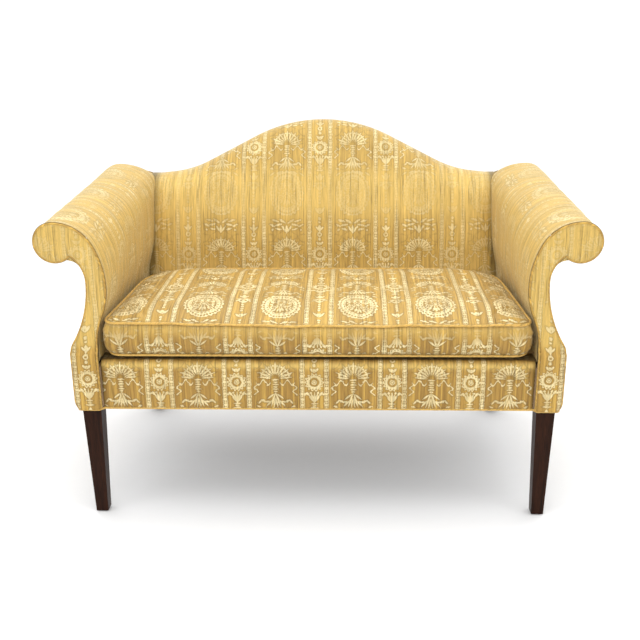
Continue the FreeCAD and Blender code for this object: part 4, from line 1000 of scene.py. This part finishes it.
def inside_back():
    xs = np.concatenate([-BACK_HALF - BACK_TUCKS[::-1], np.linspace(-BACK_HALF, BACK_HALF, BACK_COLUMNS),
                         BACK_HALF + BACK_TUCKS])
    sections = [back_section(min(max(x, -BACK_HALF), BACK_HALF)) for x in xs]
    points = np.array([[(x, row_y(depth), z) for depth, z in section]
                       for x, section in zip(xs, sections)])
    crest = points[..., 2].max(axis=1)
    first = SMOOTH_FROM
    for _ in range(SMOOTH_ROUNDS):
        points[:, first:-1] += 0.25 * (points[:, first - 1:-2] - 2 * points[:, first:-1]
                                       + points[:, first + 1:])
    lost = crest - points[..., 2].max(axis=1)
    points[..., 2] += lost[:, None] * smooth((np.arange(points.shape[1]) - 30) / 40)
    run = np.array([lengths_along(section) for section in sections])
    x, heights = points[..., 0], points[..., 2]
    meets_arm = BACK_HALF + 0.004 + 0.014 * (1 - smooth((heights - DECK) / (BEND_TOP - DECK)))
    inset = np.maximum(0, meets_arm - np.abs(x))
    edge = smooth(inset / 0.07)
    top_ease = smooth((heights.max(axis=1)[:, None] - heights) / 0.05)
    plump = BACK_PUFF * smooth(inset / 0.035) * top_ease
    sway = ripples(x, heights, 0.35, 0.30) * BACK_SWAY * edge * top_ease
    pulls = ripples(x, heights, 0.045, 1.2) * BACK_PULL * edge
    low = bell(heights, 0.53, 0.03) * BACK_HOLLOW * edge
    points[..., 1] += BACK_CREASE * near(inset, 0.006) - plump - sway - pulls + low
    v = run - BACK_PATTERN_START
    # A middle band and the sides get a faint figure and are painted paler: painted sheen washing out the
    # figure. Point value seam is painted shade along the edges against the arms
    middle = smooth((v - 0.07) / 0.07) * (1 - smooth((v - 0.20) / 0.07))
    sheen_side = smooth((np.abs(x) - 0.26) / 0.16) * (1 - middle)
    obj = cover("inside_back_cover", points, x - ROSETTE_X, v,
                np.clip(0.78 - 0.58 * middle - 0.30 * sheen_side, 0.1, 1),
                pale=0.48 + 0.40 * middle + 0.20 * sheen_side, seam=0.9 * near(inset, 0.0030))
    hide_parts("inside_back", "back_burlap", "back_webbing_across",
                "back_webbing_upright")


# A flat panel with a rolled rim, from a closed outline in a plane
def panel_mesh(name, outline, place, cloth, rim, dip):
    count = len(outline)
    ways = unit_ways(outline, closed=True)
    inward = np.column_stack([-ways[:, 1], ways[:, 0]])
    rings = [(0.0, dip), (rim * 0.35, dip * 0.35), (rim, 0.0)]
    points, flat, faces = [], [], []
    for level, (inset, drop) in enumerate(rings):
        ring = outline + inward * inset
        flat += list(ring)
        points += [place(x, z, drop) for x, z in ring]
        if level:
            outer, inner = (level - 1) * count, level * count
            faces += [[outer + i, outer + (i + 1) % count, inner + (i + 1) % count, inner + i]
                      for i in range(count)]
    faces.append(list(range(inner, inner + count)))
    corner_uvs = [cloth(*flat[k]) for face in faces for k in face]
    return finish_mesh(name, points, faces, corner_uvs, np.full(len(points), 0.75))


# The whole outline of the outside back, anticlockwise as seen from the front
def back_outline():
    inner, outer = [cut_by_back(blended(outline, HEM), 0)[1]
                    for outline in (inner_outline, outer_outline)]
    roll = inner[np.argmax(inner[:, 1] > 0.74):]
    right = np.vstack([roll, outer[1:]])[::-1]
    at = np.column_stack([right[:, 0], row_y(back_plane(right[:, 1])), right[:, 1]])
    right = settled(at)[:, [0, 2]]
    xs = np.linspace(BACK_HALF + 0.004, 0, 60)
    heights = [camel_height(min(x, BACK_HALF)) - ROLL_PEAK + 0.003 for x in xs]
    half = np.vstack([right, np.column_stack([xs, heights])])
    return np.vstack([half, half[::-1][1:] * np.array([-1, 1])])


def outside_back():
    def place(x, z, drop):
        return (x, row_y(back_plane(z) - drop), z)

    def cloth(x, z):
        return (x - ROSETTE_X, z - ROSETTE_Z)

    mesh = panel_mesh("outside_back_cover", back_outline(), place, cloth, PANEL_RIM, PANEL_DIP)
    bent = bmesh.new()
    bent.from_mesh(mesh)
    geometry = bent.verts[:] + bent.edges[:] + bent.faces[:]
    bmesh.ops.bisect_plane(bent, geom=geometry, plane_co=(0, 0, BACK_RISE),
                           plane_no=(0, 0, 1))
    for vertex in bent.verts:
        if abs(vertex.co.z - BACK_RISE) < 1e-5 and abs(vertex.co.x) < 0.55:
            vertex.co.y = row_y(back_plane(BACK_RISE))
    bent.to_mesh(mesh)
    bent.free()
    obj = add_object("outside_back_cover", mesh, "sofa", DAMASK)
    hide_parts("outside_back")
    stretched(obj, "crest_rail", "rear_rail", "back_post_left", "back_post_right")


# Seat

RAIL_PUFF, RAIL_WAVE, RAIL_DIP = 0.0030, 0.0008, 0.0035
DECK_HALF, DECK_TAPER, DECK_REAR = 0.540, 0.028, 0.555
DECK_FALL, DECK_CROWN = 0.0035, 0.0028
DUST_LIFT, DUST_SAG = 0.0006, 0.004
HEM_WIDE = (0.5768, 0.5523)
HEM_FRONT, HEM_REAR = WELT - 0.0003, 0.6035
HEM_CORNER = 0.006
HEM_STEP = 0.011


def rail_cover():
    lip_end = (LIP_DEPTH, RAIL_COVER_TOP)
    round_start = RAIL_COVER_TOP - EDGE_ROUND
    profile = chain(line_points((0.0, HEM - 0.001), (0.0, round_start), 34),
                    arc_points((EDGE_ROUND, round_start), EDGE_ROUND, 180, 90, 12),
                    line_points((EDGE_ROUND, RAIL_COVER_TOP), lip_end, 4),
                    line_points(lip_end, (LIP_DEPTH + 0.02, DECK - 0.004), 4))
    xs = np.linspace(-RAIL_HALF, RAIL_HALF, 200)
    run, depth, heights = [np.repeat(line[None, :], len(xs), axis=0) for line in
                           (lengths_along(profile), profile[:, 0], profile[:, 1])]
    x = np.repeat(xs[:, None], len(profile), axis=1)
    inset = RAIL_HALF - np.abs(x)
    rise = np.clip((heights - HEM) / (RAIL_COVER_TOP - HEM), 0, 1)
    full = RAIL_PUFF * np.sin(math.pi * rise ** 0.8) * smooth(inset / 0.05)
    wave = ripples(x, heights, 0.22, 0.30) * RAIL_WAVE * smooth(inset / 0.04) * smooth(rise * 5)
    depth = depth - full - wave + 0.004 * near(inset, 0.008)
    top = smooth((heights - 0.40) / 0.027)
    heights = heights - RAIL_DIP * top * near(inset, 0.02)
    heights = heights + ripples(x, heights, 0.16, 3.0) * RAIL_WAVE * top
    # Painted highlight: a pale band along the rounded lip. Point value seam: painted shade on the lip's
    # top under the cushion and at the ends by the facings
    lip = EDGE_ROUND * (1 - math.cos(math.radians(48)))
    shade_under_cushion = smooth((depth - lip - 0.002) / 0.007) * smooth((heights - 0.39) / 0.02)
    obj = cover("rail_cover", np.stack([x, row_y(depth), heights], axis=2), x - ROSETTE_X,
                run + HEM - ROSETTE_Z, 0.86, pale=0.85 * bell(heights, 0.406, 0.008),
                seam=np.maximum(shade_under_cushion, 0.8 * near(inset, 0.003)))
    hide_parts("front_rail_cover", "front_edge_roll")


# A level grid between two ends, with a half width at each place along
def level_grid(halves, ys, columns):
    shares = np.linspace(-1, 1, columns)[:, None]
    points = np.zeros((columns, len(ys), 3))
    points[..., 0] = shares * halves
    points[..., 1] = ys
    return points, shares, np.sin(np.linspace(0, math.pi, len(ys)))[None, :]


def deck():
    depths = np.linspace(LIP_DEPTH + 0.004, DECK_REAR, 50)
    halves = DECK_HALF - DECK_TAPER * depths / DECK_REAR
    points, shares, hump = level_grid(halves, row_y(depths), 90)
    x, y = points[..., 0], points[..., 1]
    crown = (1 - shares ** 2) * hump
    points[..., 2] = DECK - DECK_FALL + DECK_CROWN * crown + ripples(x, y, 0.2, 0.2) * 0.0004
    mesh = grid_mesh("deck_cloth", points, np.stack([x, y], axis=2), flip=True)
    obj = add_object("deck_cloth", mesh, "sofa", DECK_CLOTH)
    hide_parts("deck_cover", "deck_pad", "seat_burlap", "seat_webbing_long",
                "seat_webbing_cross")


def dust_cover():
    low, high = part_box("dust_cover")
    front, rear = high.x - 0.001, high.x - 0.026
    ys = np.linspace(low.y + 0.003, high.y - 0.046, 40)
    along = np.arange(len(ys)) / (len(ys) - 1)
    points, shares, hump = level_grid(front + (rear - front) * along, ys, 80)
    sag = (1 - shares ** 4) * hump
    x, y = points[..., 0], points[..., 1]
    points[..., 2] = low.z + DUST_LIFT - DUST_SAG * sag + ripples(x, y, 0.2, 0.3) * 0.0008 * sag
    mesh = grid_mesh("cambric", points, np.stack([x, y], axis=2))
    obj = add_object("cambric", mesh, "sofa", CAMBRIC)
    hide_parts("dust_cover")
    stretched(obj, "front_rail", "rear_rail", "side_rail_left", "side_rail_right")


# Closed path through the corners of a tapered plan, anticlockwise, each corner rounded
def rounded_path(wide, front, rear, radius):
    corners = [np.array(corner) for corner in ((-wide[0], front), (wide[0], front),
                                               (wide[1], rear), (-wide[1], rear))]
    pieces = []
    for i, corner in enumerate(corners):
        ways = [corners[k] - corner for k in (i - 1, (i + 1) % len(corners))]
        ways = [way / np.linalg.norm(way) for way in ways]
        half = math.acos(float(ways[0] @ ways[1])) / 2
        middle = (ways[0] + ways[1]) / np.linalg.norm(ways[0] + ways[1])
        centre = corner + middle * radius / math.sin(half)
        entry = corner + ways[0] * radius / math.tan(half)
        start = math.degrees(math.atan2(*(entry - centre)[::-1]))
        pieces.append(arc_points(centre, radius, start,
                                 start + 180 - 2 * math.degrees(half), 10))
    ring = np.vstack(pieces + [pieces[0][:1]])
    return resampled(ring, int(lengths_along(ring)[-1] / CORD_SPACING))[:-1]


def bottom_welt():
    ring = rounded_path(HEM_WIDE, row_y(HEM_FRONT), row_y(HEM_REAR), HEM_CORNER)
    path = np.column_stack([ring, np.full(len(ring), HEM - WELT)])
    path[:, 1] -= np.where(path[:, 1] < row_y(0.01),
                           HEM_STEP * smooth((np.abs(path[:, 0]) - RAIL_HALF) / 0.008), 0)
    obj = cord("hem_cord", path, "sofa", WELT_SILK)
    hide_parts("bottom_welt")


# Cushion

COLUMNS, ROWS, LEVELS = 150, 74, 16
TOP_COUNT = COLUMNS * ROWS
SEAM = 2 * WELT
SWELL_LIMIT = 0.007
FILL_FRAMES = 18
SEAM_LOW = CUSHION_BASE + WELT
SEAM_HIGH = SEAM_LOW + BOXING
PATTERN_DEPTH = 0.215
CROWN_SHARE, CROWN_POWER, CROWN_STEP = 0.86, 2.2, 0.002
REAR_FALL, REAR_FALL_REACH = 0.016, 0.085
PUCKER, LUMP = 0.0011, 0.0022
BOXING_SWELL, BOXING_FOLD = 0.0014, 0.0011


def cushion_half(depth, inset):
    share = (depth - CUSHION_FRONT) / (CUSHION_REAR - CUSHION_FRONT)
    return CUSHION_HALF_FRONT + (CUSHION_HALF_REAR - CUSHION_HALF_FRONT) * share - inset


# Plan places of a grid over the cushion, with its corners rounded
def cushion_plan(inset, side_inset):
    front, rear = CUSHION_FRONT + inset, CUSHION_REAR - inset
    radius = CUSHION_CORNER
    across, along = np.meshgrid(np.linspace(-1, 1, COLUMNS), np.linspace(0, 1, ROWS),
                                indexing="ij")
    depth = front + (rear - front) * along
    half = cushion_half(depth, side_inset)
    x = across * half
    p = np.clip((radius - (half - np.abs(x))) / radius, 0, 1)
    q = np.clip((radius - np.minimum(depth - front, rear - depth)) / radius, 0, 1)
    x = np.sign(x) * (np.abs(x) + radius * (p * np.sqrt(1 - q * q / 2) - p))
    shift = radius * (q * np.sqrt(1 - p * p / 2) - q)
    return x, np.where(depth < (front + rear) / 2, depth - shift, depth + shift)


def from_edge(x, depth):
    ends = np.minimum(depth - CUSHION_FRONT, CUSHION_REAR - depth)
    return np.minimum(cushion_half(depth, 0) - np.abs(x), ends)


# How far the boxing stands in from the welts' outer edge, at a share of its height
def boxing_inset(share, tuck):
    seam = SEAM + 0.0003
    low, high = 0.35, 0.65
    if share < low:
        return (seam + tuck + BOXING_BULGE) * (1 - share / low) ** 2 - BOXING_BULGE
    return (seam + BOXING_BULGE) * (max(0, share - high) / (1 - high)) ** 2 - BOXING_BULGE


# Uneven height of the front seam, as sat on
def seam_wave(x, y):
    near_front = smooth(1 - (y - row_y(CUSHION_FRONT)) / 0.25)
    lean = 0.004 * smooth(-x / 0.5) - 0.0025 * bell(x, 0, 0.25)
    small = 0.0008 * np.sin(x * 31 + 0.6) + 0.0006 * np.sin(x * 57 + 2.0)
    corner = np.hypot(np.abs(x) - CUSHION_HALF_REAR, y - row_y(CUSHION_REAR))
    return near_front * (lean + small) - REAR_FALL * bell(corner, 0, REAR_FALL_REACH)


# The rim of a grid as one loop
def edge_loop(array):
    return np.concatenate([array[:, 0], array[-1, 1:], array[-2::-1, -1], array[0, -2:0:-1]])


def cushion_cover():
    top_x, top_depth = cushion_plan(SEAM, SEAM)
    away = from_edge(top_x, top_depth) - SEAM
    share = np.clip(away / CROWN_REACH, 0, 1)
    top_z = SEAM_HIGH + CROWN * CROWN_SHARE * (1 - (1 - share) ** CROWN_POWER)
    top_z += CROWN_STEP * smooth(away / 0.006)
    low_x, low_depth = cushion_plan(SEAM + BOXING_TUCK, SEAM + SIDE_TUCK)
    low_away = from_edge(low_x, low_depth) - SEAM - BOXING_TUCK
    low_z = CUSHION_BASE + 0.0002 + 0.003 * (1 - smooth(low_away / 0.012))

    rim = np.column_stack([edge_loop(top_x), edge_loop(top_depth)])
    rim_count = len(rim)
    ways = unit_ways(rim, closed=True)
    outward = np.column_stack([ways[:, 1], -ways[:, 0]])
    vertices = [np.column_stack([top_x.ravel(), row_y(top_depth.ravel()), top_z.ravel()])]
    for level in range(1, LEVELS):
        s = 1 - level / LEVELS
        inset = np.array([boxing_inset(s, SIDE_TUCK), boxing_inset(s, BOXING_TUCK)]) - SEAM
        ring = rim - outward * inset
        height = SEAM_LOW + (SEAM_HIGH - SEAM_LOW) * s
        vertices.append(np.column_stack([ring[:, 0], row_y(ring[:, 1]),
                                         np.full(rim_count, height)]))
    vertices.append(np.column_stack([low_x.ravel(), row_y(low_depth.ravel()), low_z.ravel()]))
    points = np.vstack(vertices)

    low_base = TOP_COUNT + (LEVELS - 1) * rim_count
    index = np.arange(TOP_COUNT).reshape(COLUMNS, ROWS)
    loops = [edge_loop(index)]
    loops += [np.arange(rim_count) + TOP_COUNT + k * rim_count for k in range(LEVELS - 1)]
    loops.append(edge_loop(index + low_base))
    faces, corner_uvs = [], []
    for base, order in ((0, 1), (low_base, -1)):
        for i in range(COLUMNS - 1):
            for j in range(ROWS - 1):
                k = base + i * ROWS + j
                quad = [k, k + ROWS, k + ROWS + 1, k + 1][::order]
                faces.append(quad)
                corner_uvs += [(points[n, 0] - ROSETTE_X - CLOTH_SHIFT,
                                points[n, 1] - FRONT - PATTERN_DEPTH) for n in quad]
    around = lengths_along(rim) + rim[0, 0] - ROSETTE_X - CLOTH_SHIFT
    for level in range(LEVELS):
        high, low = loops[level], loops[level + 1]
        v_high, v_low = [-BOXING * (1 - at / LEVELS) for at in (level, level + 1)]
        for i in range(rim_count):
            j = (i + 1) % rim_count
            step = around[j] - around[i] if j else around[1] - around[0]
            faces.append([high[i], low[i], low[j], high[j]])
            corner_uvs += [(around[i], v_high), (around[i], v_low),
                           (around[i] + step, v_low), (around[i] + step, v_high)]
    # Upper boxing: fainter figure and painted paler, painted light where it faces up; the rest of the
    # cover is painted slightly pale as painted sheen. Point value seam is painted shade under the top
    # cord and on the tucked underside by the bottom cord
    strength = np.ones(len(points))
    pale = np.full(len(points), 0.25)
    seam_and_underside_shade = np.zeros(len(points))
    for level, loop in enumerate(loops):
        fall = level / LEVELS
        strength[loop] = 0.20 + 0.80 * smooth((fall - 0.2) / 0.5)
        pale[loop] = 0.50 - 0.50 * smooth((fall - 0.05) / 0.5)
        seam_and_underside_shade[loop] = max(0.65 * math.exp(-fall / 0.05), 0.95 * math.exp(-(1 - fall) / 0.09))
    mesh = finish_mesh("cushion_cover_silk", points, faces, corner_uvs, strength, pale, seam_and_underside_shade)
    obj = add_object("cushion_cover_silk", mesh, "cushion", DAMASK)

    seams = set(loops[0].tolist()) | set(loops[-1].tolist())
    pin = obj.vertex_groups.new(name="seams")
    pin.add(sorted(seams), 1.0, "REPLACE")
    pin.add([k for k in range(low_base, len(points)) if k not in seams], 0.9, "REPLACE")
    inflate(obj)
    change = np.array([v.co for v in mesh.vertices]) - points
    size = np.linalg.norm(change, axis=1, keepdims=True)
    change *= np.minimum(1, SWELL_LIMIT / np.maximum(size, 1e-9))
    change[low_base:] = 0
    final = points + change
    x, y = points[:TOP_COUNT, 0], points[:TOP_COUNT, 1]
    gap = np.maximum(away.ravel(), 0)
    puckers = ripples(x, y, 0.034, 0.05) * PUCKER * near(gap, 0.022) * smooth(gap / 0.006)
    lumps = ripples(x, y, 0.26, 0.22) * LUMP * smooth(gap / 0.09)
    final[:TOP_COUNT, 2] += puckers + lumps
    for level in range(1, LEVELS):
        s = 1 - level / LEVELS
        level_at = np.full(rim_count, s)
        swell = ripples(around[:rim_count], level_at, 0.16, 3.0, 4)
        fold = ripples(around[:rim_count], level_at, 0.035, 2.0, 4)
        push = (BOXING_SWELL * swell + BOXING_FOLD * fold) * math.sin(math.pi * s) ** 0.7
        final[loops[level], :2] += outward * push[:, None]
    height_share = np.clip((final[:, 2] - CUSHION_BASE) / (BOXING + SEAM), 0, 1)
    final[:, 2] += seam_wave(final[:, 0], final[:, 1]) * height_share
    mesh.vertices.foreach_set("co", final.astype(np.float32).ravel())
    mesh.update()
    obj.vertex_groups.clear()
    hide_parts("cushion_cover", "cushion_core", "zip_tape")


# Fills the cushion: a short cloth simulation with air pressure and held seams
def inflate(obj):
    cloth = obj.modifiers.new("fill", "CLOTH")
    settings = cloth.settings
    for key, value in (("quality", 5), ("mass", 0.25), ("tension_stiffness", 25),
                       ("compression_stiffness", 18), ("shear_stiffness", 8),
                       ("bending_stiffness", 0.6), ("use_pressure", True),
                       ("uniform_pressure_force", 3.0), ("vertex_group_mass", "seams"),
                       ("shrink_min", -0.012)):
        setattr(settings, key, value)
    settings.effector_weights.gravity = 0
    cloth.point_cache.frame_end = FILL_FRAMES
    scene = bpy.context.scene
    for number in range(1, FILL_FRAMES + 1):
        scene.frame_set(number)
    result = obj.evaluated_get(bpy.context.evaluated_depsgraph_get())
    places = np.array([v.co for v in result.data.vertices])
    obj.modifiers.remove(cloth)
    scene.frame_set(1)
    obj.data.vertices.foreach_set("co", places.astype(np.float32).ravel())
    obj.data.update()


def cushion_welts():
    for part, inset, level, waved in (("top", 0.0, SEAM_HIGH, 1.0),
                                      ("bottom", BOXING_TUCK, SEAM_LOW, 0.0)):
        side = SIDE_TUCK * inset / BOXING_TUCK
        wide = [half - WELT - side for half in (CUSHION_HALF_FRONT, CUSHION_HALF_REAR)]
        ring = rounded_path(wide, row_y(CUSHION_FRONT + WELT + inset),
                            row_y(CUSHION_REAR - WELT - inset), CUSHION_CORNER + WELT)
        heights = level + waved * seam_wave(ring[:, 0], ring[:, 1])
        obj = cord("cushion_cord_" + part, np.column_stack([ring, heights]), "cushion",
                   WELT_SILK)
        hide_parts("cushion_welt_" + part)


# Legs with eased edges: the frame's own shape, softened
EASE = 0.0016
SHARP_ANGLE = 0.35


def eased(node, name):
    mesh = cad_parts[node].data.copy()
    made = bmesh.new()
    made.from_mesh(mesh)
    bmesh.ops.remove_doubles(made, verts=made.verts[:], dist=1e-6)
    bmesh.ops.dissolve_limit(made, angle_limit=math.radians(0.5), verts=made.verts[:],
                             edges=made.edges[:])
    edges = [e for e in made.edges if len(e.link_faces) == 2 and e.calc_face_angle() > SHARP_ANGLE]
    bmesh.ops.bevel(made, geom=edges, offset=EASE, segments=3, profile=0.5, affect="EDGES",
                    clamp_overlap=True)
    made.to_mesh(mesh)
    made.free()
    mesh.materials.clear()
    obj = add_object(name, mesh, "sofa", MAHOGANY, rounded=False)
    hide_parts(node)


for side, direction in (("left", -1), ("right", 1)):
    inside_arm(side, direction)
    outside_arm(side, direction)
    arm_facing(side, direction)
    facing_welts(side, direction)
    eased("front_leg_" + side, "front_leg_polished_" + side)
    eased("back_post_" + side, "back_post_polished_" + side)
for make in (inside_back, outside_back, rail_cover, deck, dust_cover, bottom_welt,
             cushion_cover, cushion_welts):
    make()

CAD_FINISH = {
    "foot_glides": NICKEL, "corner_screws": ZINC, "zip_chain": BRASS, "zip_slider": BRASS,
}
for node_name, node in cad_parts.items():
    node.data.materials.clear()
    node.data.materials.append(CAD_FINISH.get(node_name, BEECH))


# Floor, light and camera

FLOOR_REACH = 14.0
SENSOR = 36.0
FOCAL = 924.4835 / 640.0
CAMERA_PLACE = (0.07366, -2.03247 + FRONT, 1.22489)
CAMERA_RIGHT = Vector((0.99954, 0.02912, -0.00794))
CAMERA_FORWARD = Vector((-0.03011, 0.94454, -0.32701))


def floor():
    shade = Shade("floor")
    speckle = shade.noise(shade.node("TexCoord").outputs["Object"], 30.0, 3.0)
    tone = shade.mix(speckle, (0.93, 0.93, 0.93, 1), (0.96, 0.96, 0.96, 1))
    mesh = bpy.data.meshes.new("floor")
    mesh.from_pydata([(x * FLOOR_REACH, y * FLOOR_REACH, 0)
                      for x, y in ((-1, -1), (1, -1), (1, 1), (-1, 1))], [], [(0, 1, 2, 3)])
    mesh.materials.append(shade.finish({"Base Color": tone, "Roughness": 0.85}))
    placed("floor", mesh)


# White surroundings, brighter above and behind
def surroundings():
    world = bpy.data.worlds.new("studio")
    bpy.context.scene.world = world
    world.use_nodes = True
    tree = world.node_tree
    background = tree.nodes["Background"]
    background.inputs["Color"].default_value = (1.0, 1.0, 1.0, 1)
    split = tree.nodes.new("ShaderNodeSeparateXYZ")
    tree.links.new(tree.nodes.new("ShaderNodeTexCoord").outputs["Generated"], split.inputs[0])
    total = tree.nodes.new("ShaderNodeMath")
    for i, (axis, low, high, dark, bright) in enumerate(((1, -0.2, 0.6, 0.56, 1.12),
                                                         (2, 0.25, 0.95, 0.0, 0.70))):
        ramp = tree.nodes.new("ShaderNodeMapRange")
        ramp.interpolation_type = "SMOOTHSTEP"
        for key, value in (("From Min", low), ("From Max", high), ("To Min", dark),
                           ("To Max", bright)):
            ramp.inputs[key].default_value = value
        tree.links.new(split.outputs[axis], ramp.inputs["Value"])
        tree.links.new(ramp.outputs[0], total.inputs[i])
    tree.links.new(total.outputs[0], background.inputs["Strength"])
    bpy.context.scene.view_settings.view_transform = "Standard"


def softbox(name, place, target, size, power):
    light = bpy.data.lights.new(name, "AREA")
    light.shape = "RECTANGLE"
    light.size, light.size_y = size
    light.energy = power
    obj = placed(name, light)
    obj.location = place
    way = Vector(target) - Vector(place)
    obj.rotation_euler = way.to_track_quat("-Z", "Y").to_euler()


def camera():
    data = bpy.data.cameras.new("camera")
    data.sensor_width = SENSOR
    data.lens = FOCAL * SENSOR
    obj = placed("camera", data)
    right, forward = CAMERA_RIGHT.normalized(), CAMERA_FORWARD.normalized()
    up = right.cross(forward).normalized()
    right = forward.cross(up)
    turn = Matrix((right, up, -forward)).transposed()
    obj.matrix_world = Matrix.Translation(CAMERA_PLACE) @ turn.to_4x4()
    bpy.context.scene.camera = obj


floor()
surroundings()
softbox("above", (0.2, -0.7, 2.9), (0, 0.1, 0.5), (2.6, 1.8), 26)
softbox("front", (-0.2, -2.9, 2.3), (0, 0.2, 0.65), (2.0, 1.2), 20)
softbox("left", (-2.6, -1.8, 1.7), (0, 0, 0.5), (1.6, 1.6), 7)
softbox("right", (2.8, -1.6, 1.9), (0, 0, 0.5), (1.6, 1.6), 5)
camera()
